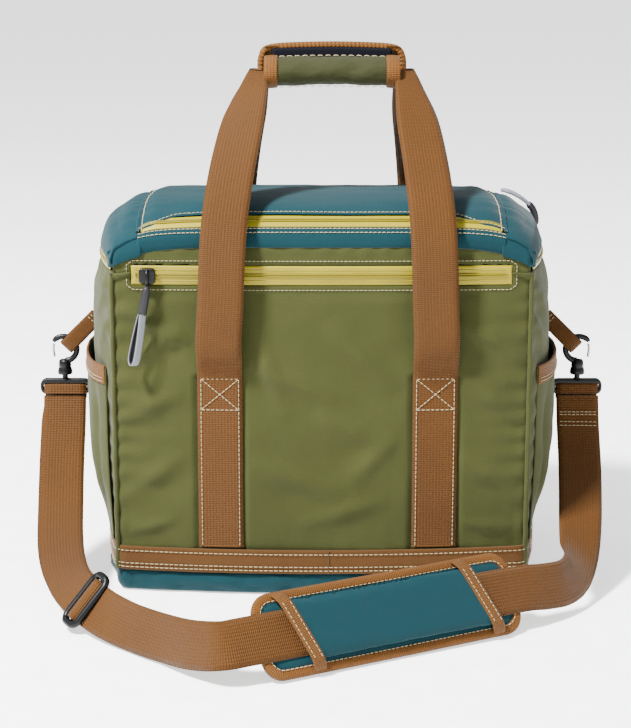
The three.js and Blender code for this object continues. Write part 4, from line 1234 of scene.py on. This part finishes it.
# ---- side loops and hooks ----
for side_name, sign in (("left", -1), ("right", 1)):
    bite = np.array([sign * (HOOK_X + 11 * math.cos(math.radians(135))), 0,
                     186 + 11 * math.sin(math.radians(135))])
    down = np.array([sign * math.sqrt(0.5), 0, -math.sqrt(0.5)])
    bar_way = np.array([sign * math.sqrt(0.5), 0, math.sqrt(0.5)])
    near = -(bite[0] * sign - 197) / math.sqrt(0.5)
    # The webbing comes from the wall, round the ring and back, and lies flat on itself near the wall.
    profile = [(near, 1.6), (near + 8, 2.2), (-14, 3.8), (-6, 5.0), (0, 5.8), (6, 4.9), (9, 0),
               (6, -4.9), (0, -5.8),
               (-6, -5.0), (-14, -3.8), (near + 8, -2.2), (near, -1.6)]
    line = spline([bite + down * a + np.array([0, 1, 0]) * b for a, b in profile], 90)
    piece = ribbon(side_name + "_hook_loop", line, np.tile(bar_way, (90, 1)), 14, 1.5, WEBBING,
                   columns=7)
    fit(piece, "root", "webbing", side_name + "_side_loop")
    across = np.linspace(-5.6, 5.6, 8)
    for a in (near + 3, near + 6):
        row = np.array([bite + down * a + bar_way * t + np.array([0, -3.1, 0]) for t in across])
        thread.sew("pocket_stitches", row, (0, -1, 0), 3.2, 2.4, 0.4)

    a = np.radians(np.linspace(-95, -325, 60))
    radius = 11 + 0.6 * smoothstep(np.linspace(0, 1, 60), 0.7, 1)
    ring_line = np.stack([sign * (HOOK_X + radius * np.cos(a)), 0 * a, 186 + radius * np.sin(a)], -1)
    thick = 2.5 + 0.7 * np.exp(-np.linspace(0, 1, 60) * 9) - 0.7 * smoothstep(np.linspace(0, 1, 60),
                                                                              0.92, 1.0)
    ring = tube(side_name + "_hook_ring", ring_line, thick, PLASTIC, sides=16)
    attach(ring, side_name + "_hook")
    z = np.array([176.6, 176.2, 175.0, 172.5, 170.5, 170.0, 168.6, 166, 164.0, 163.3, 163.0])
    r = np.array([2.6, 4.4, 5.2, 5.5, 5.6, 5.1, 5.9, 6.5, 6.5, 6.0, 3.2])
    barrel = tube(side_name + "_hook_barrel", np.stack([z * 0 + sign * HOOK_X, z * 0, z], -1), r,
                  PLASTIC, sides=24)
    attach(barrel, side_name + "_hook")
    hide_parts(side_name + "_hook")
    a = np.radians([-38, -5, 24])
    r = np.array([11.5, 9.8, 10.2])
    gate = spline(np.stack([sign * (HOOK_X + r * np.cos(a)), 0 * a, 186 + r * np.sin(a)], -1), 14)
    for n, dy in enumerate((-1.1, 1.1)):
        wire = tube(f"{side_name}_gate_wire_{n}", gate + np.array([0, dy, 0]), 1.0, STEEL, sides=10)
        fit(wire, side_name + "_gate", "wire")
        if not n:
            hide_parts(side_name + "_hook_gate")
    frame_piece = plate(side_name + "_strap_frame", rounded(22, 7, 5.5, 8),
                        [rounded(19.4, 3, 2.4, 5)[::-1]],
                        (sign * HOOK_X, 0, 152), (1, 0, 0), (0, 0, 1), 7, PLASTIC, bevel=1.1)
    neck_z = np.array([157.5, 158.4, 160, 162.4, 163.2])
    neck = tube(side_name + "_frame_neck", np.stack([neck_z * 0 + sign * HOOK_X, neck_z * 0, neck_z],
                                                    -1),
                [4.2, 3.2, 2.5, 2.5, 2.5], PLASTIC, sides=18)
    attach(frame_piece, "root")
    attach(neck, "root")
    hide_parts(side_name + "_hook_frame")
    # The strap's end goes through the frame and is sewn back to itself.
    fold = [(-4, 146), (-3.4, 150), (-2.9, 153.4), (0, 155.4), (2.9, 153.4), (3.4, 148), (1, 141)]
    fold = [(sign * HOOK_X, y, z) for y, z in fold]
    piece = ribbon(side_name + "_strap_fold", spline(fold, 50), np.tile([1.0, 0, 0], (50, 1)), 37.6,
                   1.4, WEBBING)
    fit(piece, "root", "webbing")

# ---- zip sliders and pulls ----
slider = plate("front_slider_body", rounded(6.8, 6.6, 3.2, 7), [], (-142, -115.6, 272), (1, 0, 0),
               (0, 0, 1), 4.2,
               PLASTIC, bevel=1.4)
fit(slider, "front_slider", "black_plastic", "front_zip_slider")
bridge = tube("front_slider_bridge", spline([(-142, -117.4, 277), (-142, -120.0, 274),
                                             (-142, -120.4, 268), (-142, -118.2, 264.6)], 20),
              1.6, PLASTIC, sides=12)
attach(bridge, "front_slider")


def pull_parts(name, body, node, at, down, across, out, sleeve, loop):
    """A moulded sleeve with a flat loop below it, pale outside and dark inside."""
    at, down, across, out = (np.asarray(v, float) for v in (at, down, across, out))
    body_line = [at + down * t for t in (-1.4, 0, 2, 8, 16, sleeve - 2, sleeve, sleeve + 1)]
    piece = tube(name + "_sleeve", body_line, [1.2, 2.4, 3.1, 3.5, 3.6, 3.6, 3.2, 1.6], SLEEVE,
                 sides=14)
    fit(piece, body, "pull_tape", node)
    turn = math.radians(40)
    broad = across * math.cos(turn) - out * math.sin(turn)
    apart = across * math.sin(turn) + out * math.cos(turn)
    for part, grow, material in (("_loop", 0.45, GREY_CORD), ("_core", -0.45, SLEEVE)):
        end = sleeve + loop + grow
        half_path = [(0.6, sleeve - 2), (1.8, sleeve + 6), (2.9, sleeve + 18), (3.5, end - 9),
                     (2.7, end - 2.6)]
        path = [(o + grow, t) for o, t in half_path] + [(0, end)] + [(-o - grow, t) for o,
                                                                     t in reversed(half_path)]
        line = spline(np.array([at + down * t + apart * o + out * 2.2 for o, t in path]), 90)
        piece = ribbon(name + part, line, np.tile(broad, (90, 1)), 6.6, 0.9, material)
        fit(piece, body, "pull_tape")


pull_parts("front_pull", "front_pull", "front_zip_pull", (-142, -120.9, 263.4), (-0.19, 0, -0.98),
           (0.98, 0, -0.19),
           (0, -1, 0), 24, 41)

# The lid's slider sits on the right-hand zip; its pull bends over the lid's shoulder.
slider_x = float(side_x(62, SIDE_TOP)) + 0.6
slider = plate("lid_slider_body", rounded(6.8, 4.6, 2.6, 7), [], (slider_x + 2.6, 62, SIDE_TOP + 5.5),
               (0, 1, 0), (0, 0, 1),
               4.6, PLASTIC, bevel=1.3)
fit(slider, "lid_slider", "black_plastic", "lid_zip_slider")
bend = spline([(slider_x + 7.6, 62, 285), (slider_x + 8.2, 62, 293), (slider_x + 5.0, 62, 302),
               (slider_x - 3, 62, 310),
               (slider_x - 13, 62, 316), (slider_x - 21, 62, 318.5)], 40)
sleeve = tube("lid_pull_sleeve", bend[:20], np.interp(np.arange(20), [0, 3, 17, 19],
                                                      [1.4, 3.0, 3.2, 2.2]), SLEEVE, sides=14)
fit(sleeve, "lid_pull", "pull_tape", "lid_zip_pull")
spread = np.interp(np.arange(18, 40), [18, 27, 36, 39], [1.4, 4.4, 4.2, 1.6])
one = bend[18:] + np.array([0, 1, 0]) * spread[:, None]
two = bend[18:] - np.array([0, 1, 0]) * spread[:, None]
loop = tube("lid_pull_loop", spline(np.concatenate([one[::3], [bend[-1] + np.array([-1.6, 0, 0])],
                                                    two[::-3]]), 80), 1.7,
            GREY_CORD, sides=12)
fit(loop, "lid_pull", "pull_tape")

# ---- the shoulder strap's second ply, slider and sewn end ----
middle, side, along, back = route_frames(0, 6.4, 110)
shift = 2.6 * smoothstep(np.linspace(0, 6.4, 110), 0.2,
                         1.2) * smoothstep(6.4 - np.linspace(0, 6.4, 110), 0.4, 2.4)
ply = ribbon("strap_second_ply", middle + back * 2.4 - side * shift[:, None], side, WEB_WIDTH - 0.6,
             WEB, WEBBING, columns=9)
fit(ply, "root", "webbing", "strap_adjust_ply")

middle, side, along, back = (v[0] for v in route_frames(7, 7, 1))


def glide(a, b, c):
    """A point on the slider: a along the strap's width, b along its length, c away from the viewer."""
    return middle + side * a + along * b + back * c


outline = rounded(22.6, 9.2, 6.6, 7)
frame_line = np.array([glide(a, b, -3.0 - 0.5 * (abs(b) < 6)) for a, b in outline])
piece = tube("glide_frame", frame_line, 3.0, PLASTIC, sides=14, closed=True)
fit(piece, "strap_slider", "black_plastic", "strap_slider")
line = [glide(a, 0, -1.6) for a in (-22, -10, 0, 10, 22)]
piece = tube("glide_middle_bar", spline(line, 20), 1.5, PLASTIC, sides=12)
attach(piece, "strap_slider")
hump = ((-6.6, -1.4), (-5.6, -3.4), (-3.4, -5.6), (0, -6.4), (3.4, -5.6), (5.6, -3.4), (6.6, -1.4))
over = spline([glide(0, b, c) for b, c in hump], 40)
piece = ribbon("glide_webbing", over, np.tile(side, (40, 1)), 37.4, 1.3, WEBBING, columns=9)
fit(piece, "strap_slider", "webbing")

middle, side, along, back = route_frames(21.6, ROUTE_LAST - 0.02, 40)
piece = ribbon("strap_end_ply", middle + back * 2.2, side, WEB_WIDTH - 0.6, WEB, WEBBING, columns=9)
fit(piece, "root", "webbing")
for row in (21.92, 22.02, 22.28, 22.38):
    m, s, _, b = (v[0] for v in route_frames(row, row, 1))
    line = np.array([m + s * a - b * 1.1 for a in np.linspace(-16.5, 16.5, 12)])
    thread.sew("strap_stitches", line, -b, 3.6, 2.8, 0.42)

# ---- shoulder pad ----
PAD_FROM = 13.1
PAD_TO = 14.88
PAD_WIDTH = 66
KEEPER_LEAN = 0.34


def pad_surface(u, v, lift, start=PAD_FROM, end=PAD_TO, width=PAD_WIDTH):
    """u runs across the pad and v along it, both from -1 to 1; lift is towards the viewer."""
    rows = mix(start, end, (np.asarray(v) + 1) / 2)
    key = np.linspace(PAD_FROM - 0.1, PAD_TO + 0.1, 90)
    m, s, _, b = route_frames(PAD_FROM - 0.1, PAD_TO + 0.1, 90)
    pick = lambda values: np.stack([np.interp(rows, key, values[:, k]) for k in range(3)], -1)
    return pick(m) + pick(s) * (u * width / 2)[..., None] - pick(b) * np.asarray(lift)[..., None]


def cushion(name, start, end, width, thick, lift, material, slant, round_off):
    """A closed, crowned pad whose edges come together in a seam; slant leans its ends over."""
    u, v = np.meshgrid(np.linspace(-1, 1, 25), np.linspace(-1, 1, 73))
    crown = (np.maximum(0, 1 - u ** 6) * np.maximum(0, 1 - v ** 20)) ** 0.5
    uu = u * (1 - round_off * np.maximum(0, np.abs(v) - 0.86) ** 2 * 50)
    vv = v - slant * u
    faces_points = []
    for way in (1, -1):
        h = lift + way * (0.35 + (thick / 2 - 0.35) * crown)
        faces_points.append(pad_surface(uu, vv, h, start, end, width))
    front, rear = faces_points
    count = front.shape[0] * front.shape[1]
    outer = grid_faces(*front.shape[:2])
    faces = outer + [tuple(k + count for k in reversed(f)) for f in outer] + rim_faces(outer, count)
    points = np.concatenate([front.reshape(-1, 3), rear.reshape(-1, 3)])
    uv = np.stack([u * width / 2, v * 110], -1).reshape(-1, 2)
    return make(name, points, orient(points, faces), material, np.concatenate([uv, uv]))


def swell(piece, voxel, pressure, cap, frames=20):
    """Inflates a closed piece with a cloth simulation, and lets no point move further than cap."""
    remesh = piece.modifiers.new("remesh", "REMESH")
    remesh.mode = "VOXEL"
    remesh.voxel_size = voxel * MM
    graph = bpy.context.evaluated_depsgraph_get()
    mesh = bpy.data.meshes.new_from_object(piece.evaluated_get(graph))
    piece.modifiers.clear()
    material = piece.data.materials[0]
    piece.data = mesh
    mesh.materials.clear()
    mesh.materials.append(material)
    count = len(mesh.vertices)
    rest = np.empty(count * 3)
    mesh.vertices.foreach_get("co", rest)
    rest = rest.reshape(-1, 3)
    cloth_modifier = piece.modifiers.new("cloth", "CLOTH")
    settings = cloth_modifier.settings
    settings.use_pressure = True
    settings.uniform_pressure_force = pressure
    settings.effector_weights.gravity = 0
    settings.quality = 5
    settings.mass = 0.2
    settings.tension_stiffness = 12
    settings.compression_stiffness = 12
    settings.bending_stiffness = 0.4
    cloth_modifier.point_cache.frame_start = 1
    cloth_modifier.point_cache.frame_end = frames
    scene = bpy.context.scene
    for step in range(1, frames + 1):
        scene.frame_set(step)
    graph = bpy.context.evaluated_depsgraph_get()
    done = bpy.data.meshes.new_from_object(piece.evaluated_get(graph))
    moved = np.empty(count * 3)
    done.vertices.foreach_get("co", moved)
    step = moved.reshape(-1, 3) - rest
    size = np.linalg.norm(step, axis=1, keepdims=True)
    step *= np.minimum(1, cap * MM / np.maximum(size, 1e-9))
    piece.modifiers.clear()
    mesh.vertices.foreach_set("co", (rest + step).ravel())
    mesh.polygons.foreach_set("use_smooth", [True] * len(mesh.polygons))
    mesh.update()
    scene.frame_set(1)


def wrinkle(piece, scale, depth, seed):
    """Small folds pushed along a piece's normals."""
    mesh = piece.data
    for vertex in mesh.vertices:
        p = vertex.co / (scale * MM) + Vector((seed, 0, 0))
        vertex.co += vertex.normal * (noise.noise(p) + 0.4 * noise.noise(p * 2.3)) * depth * MM
    mesh.update()


for name, node, start, end, width, thick, lift, slant, round_off, seed in (
        ("pad_back_cushion", "pad_base", PAD_FROM + 0.03, PAD_TO - 0.03, PAD_WIDTH - 4, 4.6, -4.2, 0,
         0.3, 61),
        ("pad_front_cushion", "pad_cover", PAD_FROM + 0.27, PAD_TO - 0.27, PAD_WIDTH - 15, 4.6, 3.7,
         0.11, 0, 64)):
    piece = cushion(name, start, end, width, thick, lift, TEAL, slant, round_off)
    swell(piece, 2.2, 4.0, 1.2)
    wrinkle(piece, 13, 0.5, seed)
    soften(piece)
    fit(piece, "pad", None, node)


def lip(name, centre, inward, normal, width, thickness, material):
    """A band folded over an edge: a closed loop with a flattened round section."""
    count = len(centre)
    angle = np.linspace(0, 2 * np.pi, 16, endpoint=False)
    c, s = np.cos(angle), np.sin(angle)
    flat_c = np.sign(c) * np.abs(c) ** 0.6
    flat_s = np.sign(s) * np.abs(s) ** 0.6
    points = (centre[:, None] + inward[:, None] * (flat_c * width / 2)[None, :, None]
              + normal[:, None] * (flat_s * thickness / 2)[None, :, None])
    faces = grid_faces(count, 16, wrap=True) + closing_faces(count, 16)
    run = np.cumsum(np.linalg.norm(np.roll(centre, -1, 0) - centre, axis=1))
    uv = np.stack([np.broadcast_to(flat_s * thickness * 2, (count, 16)),
                   np.broadcast_to(run[:, None], (count, 16))], -1)
    return make(name, points, orient(points, faces), material, uv)


def pad_outline(inset, count=260):
    """Round the pad's edge: u and v, with small rounded corners."""
    long_half = 0.5 * float(np.linalg.norm(route_at(PAD_TO) - route_at(PAD_FROM)))
    ring = np.array(rounded(PAD_WIDTH / 2 - inset, long_half - inset, 19 - inset, 10))
    ring = spread_round(ring, count)[0]
    return ring[:, 0] / (PAD_WIDTH / 2), ring[:, 1] / long_half


u, v = pad_outline(3.6)
edge_line = pad_surface(u, v, np.full(len(u), -4.0))
normal_way = unit(pad_surface(u, v, np.full(len(u), 0.0)) - edge_line)
tangent = unit(np.roll(edge_line, -1, 0) - np.roll(edge_line, 1, 0))
piece = lip("pad_edge_binding", edge_line, np.cross(tangent, normal_way), normal_way, 8.2, 6.4, TAPE)
fit(piece, "pad", "binding", "pad_binding")
u, v = pad_outline(6.6)
line = pad_surface(u, v, np.full(len(u), -0.4))
thread.sew("pad_stitches", line, normal_way, 3.8, 2.8, 0.38, close=True)

for hand_name, row in (("left", PAD_FROM + 0.3), ("right", PAD_TO - 0.3)):
    m, s, f, b = (x[0] for x in route_frames(row, row, 1))
    across = [(-31, -1.0), (-30, 1.2), (-27, 4.0), (-22, 6.6), (-10, 7.2), (10, 7.2), (22, 6.6),
              (27, 4.0), (30, 1.2), (31, -1.0)]
    way = s - f * KEEPER_LEAN
    line = spline([m + way * a - b * h for a, h in across], 60)
    piece = ribbon(f"pad_{hand_name}_keeper_tape", line, np.tile(f, (60, 1)), 10.5, 1.6, TAPE,
                   columns=7)
    fit(piece, "pad", "binding", f"pad_{hand_name}_keeper")
    for offset in (-3.2, 3.2):
        row_points = np.array([m + way * a + f * offset - b * 8.1 for a in np.linspace(-23, 23, 20)])
        thread.sew("pad_stitches", row_points, -b, 3.6, 2.6, 0.36)

# The lid is sewn to the back wall by a strip of canvas, built here in its closed shape.
u = np.linspace(-168, 168, 120)
hinge_rows = []
for t in np.linspace(0, 1, 14):
    low_z, high_z = wall_top(u, BACK_TOP) - 8, lid_z(u, u * 0 + 112.0) + 0.2
    y = mix(front_y(u, 288) + 1.4, 113.0 + 0 * u, smoothstep(t, 0.35, 1)) + 1.6 * math.sin(math.pi * t)
    hinge_rows.append(np.stack([u, y, mix(low_z, high_z, t)], -1))
hinge_rows = np.array(hinge_rows)[:, ::-1]
hinge_rows[..., 1] += 0.4 * point_noise(hinge_rows, 16, 90)
piece = cloth("lid_hinge_strip", hinge_rows, 1.6, TEAL)
soften(piece)
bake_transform(piece)

# ---- front and back corners of the lid, turned down over the walls ----
for x_sign in (-1, 1):
    for y_sign in (-1, 1):
        X, T = np.meshgrid(np.linspace(147, 175.5, 18), np.linspace(0, 1, 12))
        over = y_sign * (LID_HALF_Y - 2)
        high = lid_z(np.minimum(X, 173.5), over) + 0.6
        low = np.where(X < 172, wall_top(np.minimum(X, 172), WALL_TOP if y_sign < 0 else BACK_TOP),
                       282) - 4.5
        Z = mix(high, low, T)
        bulge = 1.6 * np.sin(np.pi * T) + 1.2 * T
        Y = y_sign * (front_y(np.minimum(X, 172), Z) + 1.0 + bulge - 4.5 * smoothstep(X, 168, 176))
        Y = mix(np.full_like(Y, over), Y, smoothstep(T, -0.2, 0.35))
        points = np.stack([x_sign * X, Y, Z], -1)
        points[..., 1] += 0.5 * y_sign * point_noise(points, 12, 80)
        if grid_normals(points)[:, :, 1].mean() * y_sign < 0:
            points = points[:, ::-1]
        piece = cloth(f"lid_corner_{x_sign + 1}_{y_sign + 1}", points, 1.6, TEAL)
        soften(piece)
        fit(piece, "lid", "teal_canvas")

# ---- stitches, and the CAD pieces that are carried over ----
for name, piece in thread.weave(THREAD).items():
    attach(piece, GROUP_BODY[name])

for name, material in (("base_board", BOARD), ("base_foam", FOAM)):
    carried = bpy.data.objects[name]
    carried.data.materials.clear()
    carried.data.materials.append(material)

# ---- floor and light ----
floor_material = plain("pale_floor", (250, 250, 249), 0.85, Emission_Color=(1, 1, 1, 1),
                       Emission_Strength=1.0)
floor_corners = [(-12000, -4000, -0.5), (12000, -4000, -0.5), (12000, 40000, -0.5),
                 (-12000, 40000, -0.5)]
floor = make("floor", floor_corners, [(0, 1, 2, 3)], floor_material, smooth=False)
world = bpy.data.worlds.new("studio")
world.use_nodes = True
sky = world.node_tree.nodes["Background"]
sky.inputs["Color"].default_value = (0.98, 0.99, 1, 1)
sky.inputs["Strength"].default_value = 1.1
bpy.context.scene.world = world


def lamp(name, place, aim, size, power):
    data = bpy.data.lights.new(name, "AREA")
    data.shape = "RECTANGLE"
    data.size, data.size_y = size
    data.energy = power
    item = bpy.data.objects.new(name, data)
    item.location = place
    item.rotation_euler = (Vector(aim) - Vector(place)).to_track_quat("-Z", "Y").to_euler()
    bpy.context.scene.collection.objects.link(item)


lamp("key", (-1.35, -1.15, 2.6), (0, 0, 0.2), (0.45, 0.45), 520)
lamp("fill", (1.6, -1.9, 1.0), (0, 0, 0.2), (1.6, 1.6), 8)
